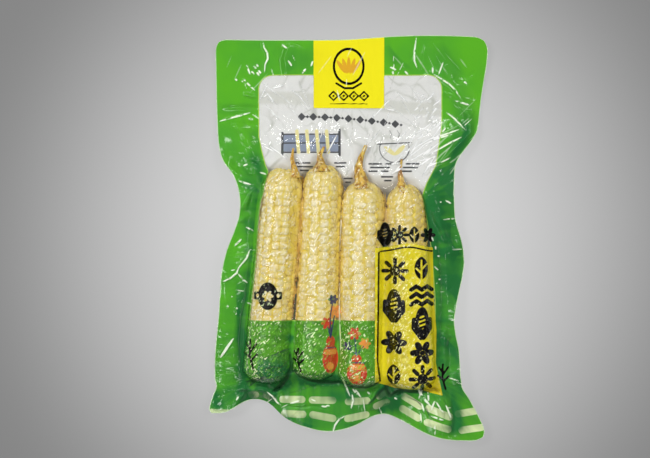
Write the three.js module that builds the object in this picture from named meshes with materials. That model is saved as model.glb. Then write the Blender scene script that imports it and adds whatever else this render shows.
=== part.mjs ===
// A flat retort pouch, vacuum-sealed round four small ears of sweet corn, lying on its back.
// The pouch is one closed body: the ears stand up under the drawn-down film, and the flat header,
// the side seals and the wavy foot seal run out from them.
//
// Millimetres. X runs across the pouch, +Y towards its header, +Z up off the table.
// The origin is on the table, under the middle of the pouch.
import * as THREE from "three";

// ---------- driving dimensions ----------
const pouchWidth = 180; // sheet from side edge to side edge, before the film draws in
const pouchLength = 261; // sheet from foot edge to header edge
const sealThickness = 0.9; // both films, with what is left between them
const cornerRadius = { footLeft: 2, footRight: 8, headerLeft: 6.5, headerRight: 8 };
const tearNotch = { y: -96.4, depth: 2.4, halfHeight: 3 };

const earRadius = 13.8; // a small ear with the film on it
const earFlat = 2; // how far each ear's underside is pressed flat on the table
const buttCap = 10; // length of an ear that rounds off to its butt
const crownCap = 24; // length that rounds off to its crown
const crownNarrowing = 0.1; // an ear is this share slimmer at its crown than at its butt
const huskRadius = 5; // a dried husk tip under its tent of film
const huskNarrowing = 0.5;

const shoulderHeight = { left: 11, right: 15 }; // where the seals leave the packed ears
const shoulderReach = 16; // how far out the seals stay near that height
const grooveTop = 18; // film across the groove between two ears, above the table
const grooveUnder = 3.4; // the same groove on the underside
const drape = 5; // rounding where film leaves an ear for a seal or a groove
const sideSlope = 2; // steepness of the film coming down off an ear's side
const tangentShare = 0.9; // share of an ear's radius where the film leaves its round side
const tableRounding = 2; // rounding where a seal comes down to lie flat on the table

// Each ear lies from its butt to the end of its kernels, and a dried husk tip carries on from there.
const ears = [
  { butt: [-50.8, -92.5], crown: [-43.6, 46], girth: 1, husk: [-36.8, 58] },
  { butt: [-21.4, -90.5], crown: [-16.8, 48.5], girth: 0.98, husk: [-17.2, 60] },
  { butt: [7.2, -95], crown: [8.2, 37], girth: 1, husk: [7.6, 59.5] },
  { butt: [39.6, -97], crown: [34.4, 34.5], girth: 0.99, husk: [32.2, 49] },
];

// The packed ears' footprint, outside which the two films are sealed together.
const contents = { low: [-60, -92], high: [49, 38], corner: 14 };

// ---------- outline of the drawn-in pouch ----------
// How far each edge is drawn in from the sheet's own edge: [position along the edge, distance].
const leftDrawn = smoothLine([
  [-112, 0.6], [-104, 2.4], [-97, 3.8], [-78, 4], [-50, 6.6], [-20, 9], [-7, 12.2], [12, 19.6],
  [22, 20.8], [34, 19], [42, 15.6], [49, 10], [59, 6.8], [76, 5.4], [118, 4.4],
]);
const rightDrawn = smoothLine([
  [-131, 2], [-122, 4], [-104, 13], [-96, 17.2], [-88, 19.4], [-74, 19.6], [-62, 22.2], [-52, 23.6],
  [-40, 21.2], [-15, 16.2], [2, 19.2], [10, 22], [20, 23], [41, 23], [49, 21.8], [60, 14],
  [66, 9], [72, 7.4], [91, 5], [115, 1.2],
]);
const footDrawn = smoothLine([
  [-90, 19.9], [-79, 18.5], [-67.5, 24.9], [-60, 26.8], [-51, 24.5], [-41, 15.3], [-26, 9.1],
  [-12, 6.8], [5, 10.3], [15, 15.1], [22, 16.9], [31, 14.5], [51, 4.5], [62, 1.4], [77, 0],
]);
const headerDrawn = smoothLine([[-90, 2.5], [0, 2.5], [15, 1.3], [36, 0.1], [60, 0.1], [90, 1.5]]);

// ---------- height of the seals' outer edges above the table ----------
const leftRise = smoothLine([
  [-112, 6], [-92, 2.6], [-62, 4], [-24, 7], [2, 12], [22, 15.5], [40, 12], [60, 4.5], [92, 2], [131, 4],
]);
const rightRise = smoothLine([
  [-131, 6], [-108, 7], [-88, 7.5], [-70, 3.5], [-52, 6.5], [-34, 3.5], [-14, 1.8], [8, 3.5], [22, 6],
  [44, 7.5], [58, 7], [78, 2.6], [102, 3], [131, 6.5],
]);
const footRise = smoothLine([
  [-90, 6], [-78, 9], [-67, 4.5], [-57, 1.4], [-46, 5], [-34, 11], [-16, 14], [2, 12], [13, 6], [22, 2],
  [33, 6], [46, 12], [61, 14], [76, 10], [90, 7],
]);
const headerRise = smoothLine([[-90, 4], [-62, 2], [-30, 4.6], [0, 3], [34, 2.2], [62, 4.4], [90, 6.5]]);

// Long folds in the seals: a line of points, the fold's half width and its rise, negative for a valley.
const folds = [
  { line: [[-53, 40], [-61, 43], [-70, 48.5]], halfWidth: 7, rise: -2.6 },
  { line: [[-60, 33], [-65, 28], [-69, 20]], halfWidth: 7, rise: 2 },
  { line: [[-66, -10], [-72, -18], [-79, -27]], halfWidth: 8, rise: 1.8 },
  { line: [[54, 27], [57, 16], [61, 2], [66, -7], [73, -10]], halfWidth: 7, rise: 2.6 },
  { line: [[54, 54], [66, 62], [76, 72]], halfWidth: 9, rise: 2 },
  { line: [[54, 106], [66, 100], [74, 89]], halfWidth: 8, rise: 2 },
  { line: [[-62, -93], [-66, -99], [-73, -109]], halfWidth: 7, rise: 2.6 },
  { line: [[16, -98], [22, -103], [27, -113]], halfWidth: 8, rise: -2.6 },
  { line: [[52, -98], [56, -106], [60, -122]], halfWidth: 8, rise: 2 },
];

// ---------- small helpers ----------

// A smooth curve through [position, value] pairs, held level past its ends.
function smoothLine(points) {
  const places = points.map(([place]) => place);
  const curve = new THREE.CubicInterpolant(places, points.map(([, value]) => value), 1);
  const [first, last] = [places[0], places[places.length - 1]];
  return (place) => curve.evaluate(THREE.MathUtils.clamp(place, first, last))[0];
}

// The larger of two heights, blended over a band of the given width.
function softMax(a, b, band) {
  const overlap = Math.max(band - Math.abs(a - b), 0);
  return Math.max(a, b) + (overlap * overlap) / (4 * band);
}

function softMin(a, b, band) {
  return -softMax(-a, -b, band);
}

// A point seen from a stretch: how far ahead of its start, how far aside, and the stretch's length.
function alongStretch([x, y], [ax, ay], [bx, by]) {
  const length = Math.hypot(bx - ax, by - ay);
  const ahead = ((x - ax) * (bx - ax) + (y - ay) * (by - ay)) / length;
  const aside = Math.abs((x - ax) * (by - ay) - (y - ay) * (bx - ax)) / length;
  return { ahead, aside, length };
}

// Distance from a point to the nearest place on a line of points.
function distanceToLine(point, line) {
  let nearest = Infinity;
  for (let i = 1; i < line.length; i++) {
    const { ahead, aside, length } = alongStretch(point, line[i - 1], line[i]);
    const beyond = Math.max(-ahead, ahead - length, 0);
    nearest = Math.min(nearest, Math.hypot(aside, beyond));
  }
  return nearest;
}

// ---------- the ears under the film ----------

// Height of film over a round body of that radius, at a distance from its axis, measured from its axis.
function roof(distance, radius) {
  const leaves = radius * tangentShare;
  if (distance < leaves) return Math.sqrt(radius * radius - distance * distance);
  return radius * Math.sqrt(1 - tangentShare ** 2) - sideSlope * (distance - leaves);
}

// An ear is a slightly tapered rod with a short rounded butt and a long rounded crown.
function earRoof(ear, point) {
  const { ahead, aside, length } = alongStretch(point, ear.butt, ear.crown);
  const slimmer = (crownNarrowing * THREE.MathUtils.clamp(ahead, 0, length)) / length;
  const radius = earRadius * ear.girth * (1 - slimmer);
  const pastButt = Math.max(0, buttCap - ahead) / buttCap;
  const pastCrown = Math.max(0, ahead - length + crownCap) / crownCap;
  return roof(Math.hypot(aside, radius * Math.max(pastButt, pastCrown)), radius);
}

// The husk tip starts inside the crown and narrows to its end.
function huskRoof(ear, point) {
  const { ahead, aside, length } = alongStretch(point, ear.crown, ear.husk);
  const beyond = Math.max(0, -ahead, ahead - length);
  const radius = huskRadius * (1 - (huskNarrowing * THREE.MathUtils.clamp(ahead, 0, length)) / length);
  return roof(Math.hypot(aside, beyond), radius);
}

// Distance outside the footprint of the packed ears, negative inside it.
function outsideContents([x, y]) {
  const { low, high, corner } = contents;
  const dx = Math.abs(x - (low[0] + high[0]) / 2) - (high[0] - low[0]) / 2 + corner;
  const dy = Math.abs(y - (low[1] + high[1]) / 2) - (high[1] - low[1]) / 2 + corner;
  return Math.hypot(Math.max(dx, 0), Math.max(dy, 0)) + Math.min(Math.max(dx, dy), 0) - corner;
}

// ---------- the sealed film round them ----------

function foldHeight(point) {
  let height = 0;
  for (const { line, halfWidth, rise } of folds) {
    const share = Math.min(distanceToLine(point, line) / halfWidth, 1);
    height += rise * (1 - share * share) ** 2;
  }
  return height;
}

// Middle height of the sealed films: the outer edges' own waves, lifted to the shoulder beside the ears.
function sealHeight(point, u, v) {
  const [x, y] = point;
  const sides = THREE.MathUtils.lerp(leftRise(y), rightRise(y), u);
  const ends = THREE.MathUtils.lerp(footRise(x), headerRise(x), v);
  const footCorners = THREE.MathUtils.lerp(footRise(-pouchWidth / 2), footRise(pouchWidth / 2), u);
  const headerCorners = THREE.MathUtils.lerp(headerRise(-pouchWidth / 2), headerRise(pouchWidth / 2), u);
  const edges = sides + ends - THREE.MathUtils.lerp(footCorners, headerCorners, v);
  const out = Math.max(outsideContents(point), 0);
  const shoulder = THREE.MathUtils.lerp(shoulderHeight.left, shoulderHeight.right, u);
  const nearness = Math.exp(-((out / shoulderReach) ** 2));
  const lifted = THREE.MathUtils.lerp(edges, shoulder, nearness) + foldHeight(point);
  return softMax(lifted, sealThickness, tableRounding);
}

function upperHeight(point, seal) {
  let height = seal + sealThickness / 2;
  for (const ear of ears) {
    height = softMax(height, earRadius * ear.girth + earRoof(ear, point), drape);
    height = softMax(height, seal + huskRoof(ear, point), drape);
  }
  const inside = -outsideContents(point);
  return softMax(height, Math.min(grooveTop, seal + inside), drape);
}

function lowerHeight(point, seal) {
  let height = seal - sealThickness / 2;
  for (const ear of ears) {
    height = softMin(height, earRadius - earFlat - earRoof(ear, point), drape);
  }
  const inside = Math.max(-outsideContents(point), 0);
  height = Math.min(height, Math.max(grooveUnder, seal - sealThickness / 2 - inside));
  return Math.max(height, 0);
}

// ---------- from the flat sheet to the pouch ----------
const leftEdge = (y) => -pouchWidth / 2 + leftDrawn(y) + notchDepth(y);
const rightEdge = (y) => pouchWidth / 2 - rightDrawn(y) - notchDepth(y);
const footEdge = (x) => -pouchLength / 2 + footDrawn(x);
const headerEdge = (x) => pouchLength / 2 - headerDrawn(x);

function notchDepth(y) {
  return tearNotch.depth * Math.max(0, 1 - Math.abs(y - tearNotch.y) / tearNotch.halfHeight);
}

// Across the pouch the columns run from the left edge, along each ear's axis in turn, to the right edge.
// Between these two heights up the pouch, above the ears, they spread out evenly.
const spreadOut = { from: 62, to: 110 };

function acrossAt(u, y) {
  const evenly = THREE.MathUtils.smoothstep(y, spreadOut.from, spreadOut.to);
  const guides = [leftEdge(y)];
  for (const { butt, crown } of ears) {
    const axis = THREE.MathUtils.mapLinear(y, butt[1], crown[1], butt[0], crown[0]);
    const even = THREE.MathUtils.lerp(leftEdge(y), rightEdge(y), guides.length / (ears.length + 1));
    guides.push(THREE.MathUtils.lerp(axis, even, evenly));
  }
  guides.push(rightEdge(y));
  const span = Math.min(Math.floor(u * (guides.length - 1)), guides.length - 2);
  return THREE.MathUtils.lerp(guides[span], guides[span + 1], u * (guides.length - 1) - span);
}

// How far a point near a square corner moves in, on both axes, when the corner is rounded.
function cornerShift(fromSide, fromEnd, radius) {
  const x = Math.max(0, 1 - fromSide / radius);
  const y = Math.max(0, 1 - fromEnd / radius);
  return [radius * x * (1 - Math.sqrt(1 - (y * y) / 2)), radius * y * (1 - Math.sqrt(1 - (x * x) / 2))];
}

// Where the point (u, v) of the sheet, each from 0 to 1, lies in the drawn-in pouch seen from above.
// The edges it lies between depend on where it is, so it is placed anew until it settles.
const settlingPasses = 4;

function inPlan(u, v) {
  let x = (u - 0.5) * pouchWidth;
  let y = 0;
  for (let pass = 0; pass < settlingPasses; pass++) {
    y = THREE.MathUtils.lerp(footEdge(x), headerEdge(x), v);
    x = acrossAt(u, y);
  }
  const end = v < 0.5 ? "foot" : "header";
  const side = u < 0.5 ? "Left" : "Right";
  const fromSide = u < 0.5 ? x - leftEdge(y) : rightEdge(y) - x;
  const fromEnd = v < 0.5 ? y - footEdge(x) : headerEdge(x) - y;
  const [inX, inY] = cornerShift(fromSide, fromEnd, cornerRadius[end + side]);
  return [x + Math.sign(0.5 - u) * inX, y + Math.sign(0.5 - v) * inY];
}

// ---------- the closed body ----------
const columns = 50;

// Rows from foot to header: [share of the length where a band ends, rows in it].
// They are close where the ears round off and the foot folds, and wide along the straight ears.
const rowBands = [[0.19, 14], [0.51, 9], [0.74, 13], [0.96, 8], [1, 3]];

function rowPlaces() {
  const places = [0];
  let from = 0;
  for (const [to, rows] of rowBands) {
    for (let row = 1; row <= rows; row++) places.push(THREE.MathUtils.lerp(from, to, row / rows));
    from = to;
  }
  return places;
}

// The two films share one grid, so that the seals are the same thickness all over.
function pouchGeometry() {
  const places = rowPlaces();
  const upper = [];
  const lower = [];
  for (const v of places) {
    for (let i = 0; i <= columns; i++) {
      const u = i / columns;
      const point = inPlan(u, v);
      const seal = sealHeight(point, u, v);
      const top = upperHeight(point, seal);
      upper.push(new THREE.Vector3(...point, top));
      lower.push(new THREE.Vector3(...point, Math.min(lowerHeight(point, seal), top - sealThickness)));
    }
  }

  // Each square is split along its shorter diagonal, alike in both films.
  const faces = [];
  const rows = places.length - 1;
  const at = (i, j) => j * (columns + 1) + i;
  const under = (corner) => corner + upper.length;
  for (let j = 0; j < rows; j++) {
    for (let i = 0; i < columns; i++) {
      const [a, b, c, d] = [at(i, j), at(i + 1, j), at(i + 1, j + 1), at(i, j + 1)];
      const shorter = upper[a].distanceTo(upper[c]) <= upper[b].distanceTo(upper[d]);
      const pair = shorter ? [[a, b, c], [a, c, d]] : [[a, b, d], [b, c, d]];
      for (const [p, q, r] of pair) faces.push([p, q, r], [under(p), under(r), under(q)]);
    }
  }

  // The cut edge of the seals, once round from the foot's left corner.
  const rim = [];
  for (let i = 0; i < columns; i++) rim.push(at(i, 0));
  for (let j = 0; j < rows; j++) rim.push(at(columns, j));
  for (let i = columns; i > 0; i--) rim.push(at(i, rows));
  for (let j = rows; j > 0; j--) rim.push(at(0, j));
  rim.forEach((p, k) => {
    const q = rim[(k + 1) % rim.length];
    faces.push([p, under(p), q], [under(p), under(q), q]);
  });

  const geometry = new THREE.BufferGeometry().setFromPoints([...upper, ...lower]);
  geometry.setIndex(faces.flat());
  geometry.computeVertexNormals();
  return geometry;
}

// ---------- the part ----------
const printedFilm = new THREE.MeshStandardMaterial({ color: 0x4fa335, roughness: 0.22, metalness: 0 });

const pouch = new THREE.Mesh(pouchGeometry(), printedFilm);
pouch.name = "bag";

// The pouch is centred over the origin, with the flats under its ears on the table.
pouch.geometry.computeBoundingBox();
const { min, max } = pouch.geometry.boundingBox;
pouch.position.set(-(min.x + max.x) / 2, -(min.y + max.y) / 2, -min.z);

const part = new THREE.Group();
part.add(pouch);

export default part;
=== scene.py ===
import math
import random

import bmesh
import bpy
import numpy as np
from mathutils import Matrix, Vector
from mathutils.bvhtree import BVHTree


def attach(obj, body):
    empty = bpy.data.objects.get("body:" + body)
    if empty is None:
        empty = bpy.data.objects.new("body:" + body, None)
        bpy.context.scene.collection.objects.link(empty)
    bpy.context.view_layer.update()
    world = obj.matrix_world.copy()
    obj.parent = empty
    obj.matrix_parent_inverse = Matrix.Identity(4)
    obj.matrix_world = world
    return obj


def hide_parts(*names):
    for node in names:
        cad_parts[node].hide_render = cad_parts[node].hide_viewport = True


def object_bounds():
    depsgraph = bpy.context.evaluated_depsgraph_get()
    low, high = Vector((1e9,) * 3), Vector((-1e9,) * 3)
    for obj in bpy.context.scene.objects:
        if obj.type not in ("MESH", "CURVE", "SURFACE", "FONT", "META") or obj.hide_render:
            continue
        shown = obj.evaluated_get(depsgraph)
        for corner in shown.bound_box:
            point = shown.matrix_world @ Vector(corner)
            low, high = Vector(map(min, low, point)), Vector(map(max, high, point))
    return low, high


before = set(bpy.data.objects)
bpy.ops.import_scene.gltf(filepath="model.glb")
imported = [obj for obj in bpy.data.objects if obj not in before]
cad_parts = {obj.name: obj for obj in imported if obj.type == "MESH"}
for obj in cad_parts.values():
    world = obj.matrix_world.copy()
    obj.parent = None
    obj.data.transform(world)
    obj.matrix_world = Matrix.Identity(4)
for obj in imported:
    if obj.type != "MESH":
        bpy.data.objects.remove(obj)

cad_low, cad_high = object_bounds()


# ---------- the ears of corn ----------
# Four small ears of sweet corn, cooked and peeled. Each is a pale cob with rows of plump kernels
# grown all round it, largest towards the butt and smallest on the domed crown.

MM = 0.001
# The first ear's patch of flat blisters: its two ends in shares of the length, and its two sides in
# radians from the top of the ear.
BARE_FLANK = (0.6, 0.92, 0.42, 1.4)
EARS = [  # butt and crown in plan, half width over the kernels and how much narrower the crown is, in mm
    dict(butt=(-53.2, -92.5), crown=(-40.6, 46.0), girth=14.9, narrowing=0.09,
         rows=15, in_row=33, turn=0.06, bare=BARE_FLANK),
    dict(butt=(-22.0, -90.5), crown=(-15.4, 48.0), girth=14.6, narrowing=0.11,
         rows=12, in_row=29, turn=-0.1),
    dict(butt=(7.1, -95.0), crown=(9.9, 37.0), girth=14.3, narrowing=0.0,
         rows=10, in_row=21, turn=0.14),
    dict(butt=(41.4, -97.0), crown=(36.2, 35.2), girth=15.0, narrowing=0.16,
         rows=12, in_row=27, turn=-0.1, ripeness=1.0),
]
EAR_FLATTENING = 0.92  # the vacuum presses the row of ears together and down
EAR_AXIS_HEIGHT = 13.6
PRESSED_HEIGHT = 0.25  # the back film holds the ears' undersides flat at this height
KERNEL_DEPTH = 4.4
COB_DEPTH = 1.0  # how far the cob lies under the kernels' crowns
KERNEL_WIDTHS, KERNEL_PITCHES = (1.16, 1.32), (1.16, 1.34)  # shares of its room: kernels press together
BLISTER_DEPTH = 0.35
LAST_KERNELS = 0.3  # kernels stop where the ear has narrowed to this share of its girth
BUTT_SHARE, CROWN_SHARE = 0.075, 0.12  # how much of the ear's length each rounded end takes
EAR_STEPS = 240  # the short lengths in which an ear's side is measured


def srgb(red, green, blue):
    """A colour as the eye grades it, from 0 to 255, turned into light."""
    return tuple((c / 255 / 12.92) if c < 10.3 else ((c / 255 + 0.055) / 1.055) ** 2.4
                 for c in (red, green, blue)) + (1.0,)


def new_material(name, **sockets):
    """A material with one Principled shader, whose plain sockets are set here."""
    material = bpy.data.materials.new(name)
    material.use_nodes = True
    tree = material.node_tree
    shader = tree.nodes["Principled BSDF"]
    for socket, value in sockets.items():
        shader.inputs[socket.replace("_", " ")].default_value = value
    return material, tree, shader


def feed(socket, value):
    """Links a socket to a value that another node puts out, or sets it to a plain one."""
    if isinstance(value, bpy.types.NodeSocket):
        socket.id_data.links.new(value, socket)
    else:
        socket.default_value = value


def attribute(tree, name):
    node = tree.nodes.new("ShaderNodeAttribute")
    node.attribute_name = name
    return node.outputs["Fac"]


def ramp(value, low, high, to_low=0.0, to_high=1.0):
    """value brought from low..high to to_low..to_high, smoothly and held at both ends."""
    node = value.id_data.nodes.new("ShaderNodeMapRange")
    node.interpolation_type = "SMOOTHSTEP"
    for socket, given in zip(("Value", "From Min", "From Max", "To Min", "To Max"),
                             (value, low, high, to_low, to_high)):
        feed(node.inputs[socket], given)
    return node.outputs["Result"]


def mixed(factor, first, second):
    """The first colour where factor is 0 and the second where it is 1."""
    node = factor.id_data.nodes.new("ShaderNodeMix")
    node.data_type = "RGBA"
    colour_a, colour_b = (socket for socket in node.inputs if socket.type == "RGBA")
    feed(node.inputs["Factor"], factor)
    feed(colour_a, first)
    feed(colour_b, second)
    return next(socket for socket in node.outputs if socket.type == "RGBA")


def worked(operation, first, second=0.0):
    """A Math node on one or two values."""
    node = first.id_data.nodes.new("ShaderNodeMath")
    node.operation = operation
    feed(node.inputs[0], first)
    feed(node.inputs[1], second)
    return node.outputs[0]


def times(first, second):
    return worked("MULTIPLY", first, second)


def larger(first, second):
    return worked("MAXIMUM", first, second)


def new_effect(name, inputs, output):
    """A node group for more than one material, with its inputs' kinds by name and one named output.
    Gives the group, the values that it is given and the socket that takes its result."""
    group = bpy.data.node_groups.new(name, "ShaderNodeTree")
    for socket, kind in inputs.items():
        group.interface.new_socket(socket, in_out="INPUT", socket_type="NodeSocket" + kind)
    socket, kind = output
    group.interface.new_socket(socket, in_out="OUTPUT", socket_type="NodeSocket" + kind)
    given = group.nodes.new("NodeGroupInput").outputs
    return group, given, group.nodes.new("NodeGroupOutput").inputs[socket]


def placed_effect(tree, group, **values):
    """A node group placed in a material with that material's own values."""
    node = tree.nodes.new("ShaderNodeGroup")
    node.node_tree = group
    for socket, value in values.items():
        feed(node.inputs[socket], value)
    return node.outputs[0]


def noise_nodes(tree, scale, detail, stretch=(1, 1, 1), turn=(0, 0, 0)):
    """Noise in the piece's own space, drawn out by the stretch."""
    where = tree.nodes.new("ShaderNodeTexCoord")
    mapping = tree.nodes.new("ShaderNodeMapping")
    mapping.vector_type = "TEXTURE"
    node = tree.nodes.new("ShaderNodeTexNoise")
    feed(mapping.inputs["Vector"], where.outputs["Object"])
    feed(mapping.inputs["Scale"], stretch)
    feed(mapping.inputs["Rotation"], turn)
    feed(node.inputs["Vector"], mapping.outputs["Vector"])
    feed(node.inputs["Scale"], scale)
    feed(node.inputs["Detail"], detail)
    return node.outputs["Fac"]


# Grain: lumps in the piece's own space, in features per metre, which may be drawn out one way.
grain, given, result = new_effect(
    "grain", dict(Scale="Float", Detail="Float", Stretch="Vector", Turn="Vector"), ("Value", "Float"))
feed(result, noise_nodes(grain, given["Scale"], given["Detail"], given["Stretch"], given["Turn"]))

# Mottle: blotches of a second colour, which come in where the lumps are from Low to High.
mottle, given, result = new_effect(
    "mottle", dict(Colour="Color", Blotch="Color", Scale="Float", Detail="Float",
                   Low="Float", High="Float", Strength="Float"), ("Colour", "Color"))
lumps = noise_nodes(mottle, given["Scale"], given["Detail"])
share = ramp(lumps, given["Low"], given["High"], 0.0, given["Strength"])
feed(result, mixed(share, given["Colour"], given["Blotch"]))


def noise(tree, scale, detail=2.0, stretch=(1, 1, 1), turn=0.0):
    return placed_effect(tree, grain, Scale=scale, Detail=detail, Stretch=stretch, Turn=(0, 0, turn))


def mottled(tree, colour, blotch, scale, detail, low, high, strength=1.0):
    return placed_effect(tree, mottle, Colour=colour, Blotch=blotch, Scale=scale, Detail=detail,
                         Low=low, High=high, Strength=strength)


def bumped(shader, height, distance):
    node = shader.id_data.nodes.new("ShaderNodeBump")
    feed(node.inputs["Distance"], distance)
    feed(node.inputs["Height"], height)
    feed(shader.inputs["Normal"], node.outputs["Normal"])


def set_attribute(mesh, name, values):
    """A number for each vertex of the mesh."""
    layer = mesh.attributes.get(name) or mesh.attributes.new(name, "FLOAT", "POINT")
    layer.data.foreach_set("value", np.asarray(values, dtype=np.float32).ravel())


def vertex_places(mesh):
    places = np.empty(len(mesh.vertices) * 3)
    mesh.vertices.foreach_get("co", places)
    return places.reshape(-1, 3)


def move_vertices(mesh, places):
    mesh.vertices.foreach_set("co", np.asarray(places, dtype=float).ravel())
    mesh.update()


def start_clean():
    bpy.ops.object.select_all(action="DESELECT")


# A kernel is pale on its dome and amber in the gaps, with brown veins and specks low on the flank. Painted
# shade: the skin turns a deeper gold towards the right-hand side of each ear, and painted highlights lie on
# the domes.
kernel_skin, tree, shader = new_material(
    "kernel_skin", Roughness=0.3, IOR=1.42, Coat_Weight=0.5, Coat_Roughness=0.12, Coat_IOR=3.0)
tint, dome, shade_side, flank = (attribute(tree, name) for name in ("tint", "dome", "shade_side", "flank"))
pale = mixed(tint, srgb(246, 230, 154), srgb(240, 220, 118))
# Painted highlight: whitish glint patches on the kernels' domes.
crown_glint = times(ramp(dome, 0.4, 1.0), ramp(noise(tree, 760, 1, (1, 1.5, 1), -0.6), 0.44, 0.62))
pale = mixed(crown_glint, pale, srgb(255, 246, 212))
pale = mixed(ramp(tint, 0.8, 2.0, 0, 0.7), pale, srgb(222, 196, 104))
amber = mottled(tree, srgb(244, 222, 88), srgb(226, 192, 72), 110, 3, 0.47, 0.5, 0.5)
crown_share = times(ramp(attribute(tree, "crown"), 0.2, 0.85), ramp(dome, 0.12, 0.6))
skin = mixed(crown_share, amber, pale)
skin = mottled(tree, skin, srgb(244, 208, 92), 90, 3, 0.45, 0.75, 0.35)
# Painted shade: a deeper gold towards each ear's right-hand side.
skin = mixed(ramp(shade_side, 0.35, 0.95, 0.0, 0.65), skin, srgb(246, 216, 86))
skin = mixed(ramp(flank, 0.35, 0.9), skin, srgb(242, 208, 104))
skin = mixed(ramp(attribute(tree, "share"), 0.84, 0.97, 0, 0.6), skin, srgb(242, 220, 124))
veins = worked("ABSOLUTE", worked("SUBTRACT", noise(tree, 130, 2), 0.5))
veins = times(ramp(veins, 0.0, 0.022, 0.6, 0), ramp(shade_side, 0.3, 0.5))
skin = mixed(veins, skin, srgb(168, 116, 44))
specks = times(ramp(noise(tree, 300, 2), 0.53, 0.58), ramp(flank, 0.45, 0.8))
specks = times(specks, ramp(worked("ABSOLUTE", shade_side), 0.6, 0.85))
skin = mixed(specks, skin, srgb(110, 58, 24))
feed(shader.inputs["Base Color"], skin)
feed(shader.inputs["Roughness"], ramp(noise(tree, 700), 0.3, 0.7, 0.2, 0.45))
bumped(shader, noise(tree, 480, 1), 0.0007)


def kernel_shape():
    """One kernel: a block of soft flesh, rounded all over, with a narrow root and a full crown."""
    start_clean()
    bpy.ops.mesh.primitive_cube_add(size=1)
    kernel = bpy.context.object
    bpy.ops.object.mode_set(mode="EDIT")
    bpy.ops.mesh.select_all(action="SELECT")
    bpy.ops.mesh.subdivide(number_cuts=2)
    bpy.ops.transform.tosphere(value=0.75)
    bpy.ops.object.mode_set(mode="OBJECT")
    for vertex in kernel.data.vertices:
        root = max(0.0, 0.1 - vertex.co.z)
        vertex.co.x *= 1 - 0.5 * root
        vertex.co.y *= 1 - 0.4 * root
    width, length, depth = kernel.dimensions
    kernel.data.transform(Matrix.Diagonal((1 / width, 1 / length, 1 / depth, 1)))
    sides = np.abs(vertex_places(kernel.data))
    off_middle = np.maximum(sides[:, 0], 0.64 * sides[:, 1])
    set_attribute(kernel.data, "dome", 1 - np.clip((off_middle - 0.17) / 0.28, 0, 1))
    bpy.ops.object.shade_smooth()
    return kernel


def ear_radius(ear, share):
    """The ear's half width in mm at a share of its length."""
    butt = max(0.0, 1 - share / BUTT_SHARE)
    crown = min(1.0, max(0.0, 1 - (1 - share) / CROWN_SHARE))
    rounding = math.sqrt(1 - butt ** 2.4) * math.sqrt(1 - crown ** 2.2)
    return ear["girth"] * (1 - ear["narrowing"] * share) * rounding


def ear_frame(ear):
    """Places an ear that was made along +Y from the origin, and gives its length."""
    butt, crown = Vector(ear["butt"]), Vector(ear["crown"])
    turn = math.atan2(butt.x - crown.x, crown.y - butt.y)
    place = Matrix.Translation((butt.x * MM, butt.y * MM, EAR_AXIS_HEIGHT * MM))
    return place @ Matrix.Rotation(turn, 4, "Z"), (crown - butt).length


def set_kernels(ear, placed, length, seed):
    """Kernels along each row, spaced by the way over the ear's skin and closer towards the crown."""
    chance = random.Random(seed)
    to_ear = placed @ Matrix.Diagonal((1, 1, EAR_FLATTENING, 1)) @ Matrix.Scale(MM, 4)
    line = [(length * i / EAR_STEPS, ear_radius(ear, i / EAR_STEPS)) for i in range(EAR_STEPS + 1)]
    walked = np.cumsum([0] + [math.dist(line[i], line[i + 1]) for i in range(EAR_STEPS)])
    room = ear["in_row"] + 0.6
    copies = []
    for row in range(ear["rows"]):
        drift = chance.uniform(-0.02, 0.02)
        for step in range(ear["in_row"]):
            share = (step + 0.55 + 0.5 * (row % 2) + chance.uniform(-0.08, 0.08)) / room
            share = share * (1.06 - 0.06 * share)
            at = min(int(np.searchsorted(walked, share * walked[-1])), EAR_STEPS - 1)
            (along, radius), (next_along, next_radius) = line[at], line[at + 1]
            if radius < LAST_KERNELS * ear["girth"]:
                continue
            angle = 2 * math.pi * (row + 0.5) / ear["rows"] + ear["turn"] + drift
            angle += 0.06 * math.sin(share * 5 + seed)
            angle += chance.uniform(-0.03, 0.03)
            blister = False
            if "bare" in ear:
                low, high, first, last = ear["bare"]
                blister = low < share < high and first + 0.5 * (high - share) < angle < last
                if blister and (step + row) % 3:
                    continue
            slope = math.atan2(next_radius - radius, next_along - along)
            out = Vector((math.sin(angle), 0, math.cos(angle)))
            forward = Vector((0, math.cos(slope), 0)) + out * math.sin(slope)
            normal = out * math.cos(slope) - Vector((0, math.sin(slope), 0))
            aside = forward.cross(normal)
            width = 2 * math.pi * radius / ear["rows"] * chance.uniform(*KERNEL_WIDTHS)
            pitch = walked[-1] / room * (1.06 - 0.12 * share) * chance.uniform(*KERNEL_PITCHES)
            middle = Vector((0, along, 0)) + out * radius
            middle += normal * (chance.uniform(-0.2, 0.05) - KERNEL_DEPTH / 2)
            if blister:
                middle -= normal * BLISTER_DEPTH
                width, pitch = 1.2 * width, 2.1 * pitch
            basis = Matrix((aside * width, forward * pitch, normal * KERNEL_DEPTH)).transposed().to_4x4()
            copy = bpy.data.objects.new("kernel", kernel.data.copy())
            copy.matrix_world = to_ear @ Matrix.Translation(middle) @ basis
            tint = ear.get("ripeness", 0) + chance.random()
            set_attribute(copy.data, "tint", [tint] * len(copy.data.vertices))
            bpy.context.collection.objects.link(copy)
            copies.append(copy)
    return copies


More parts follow.
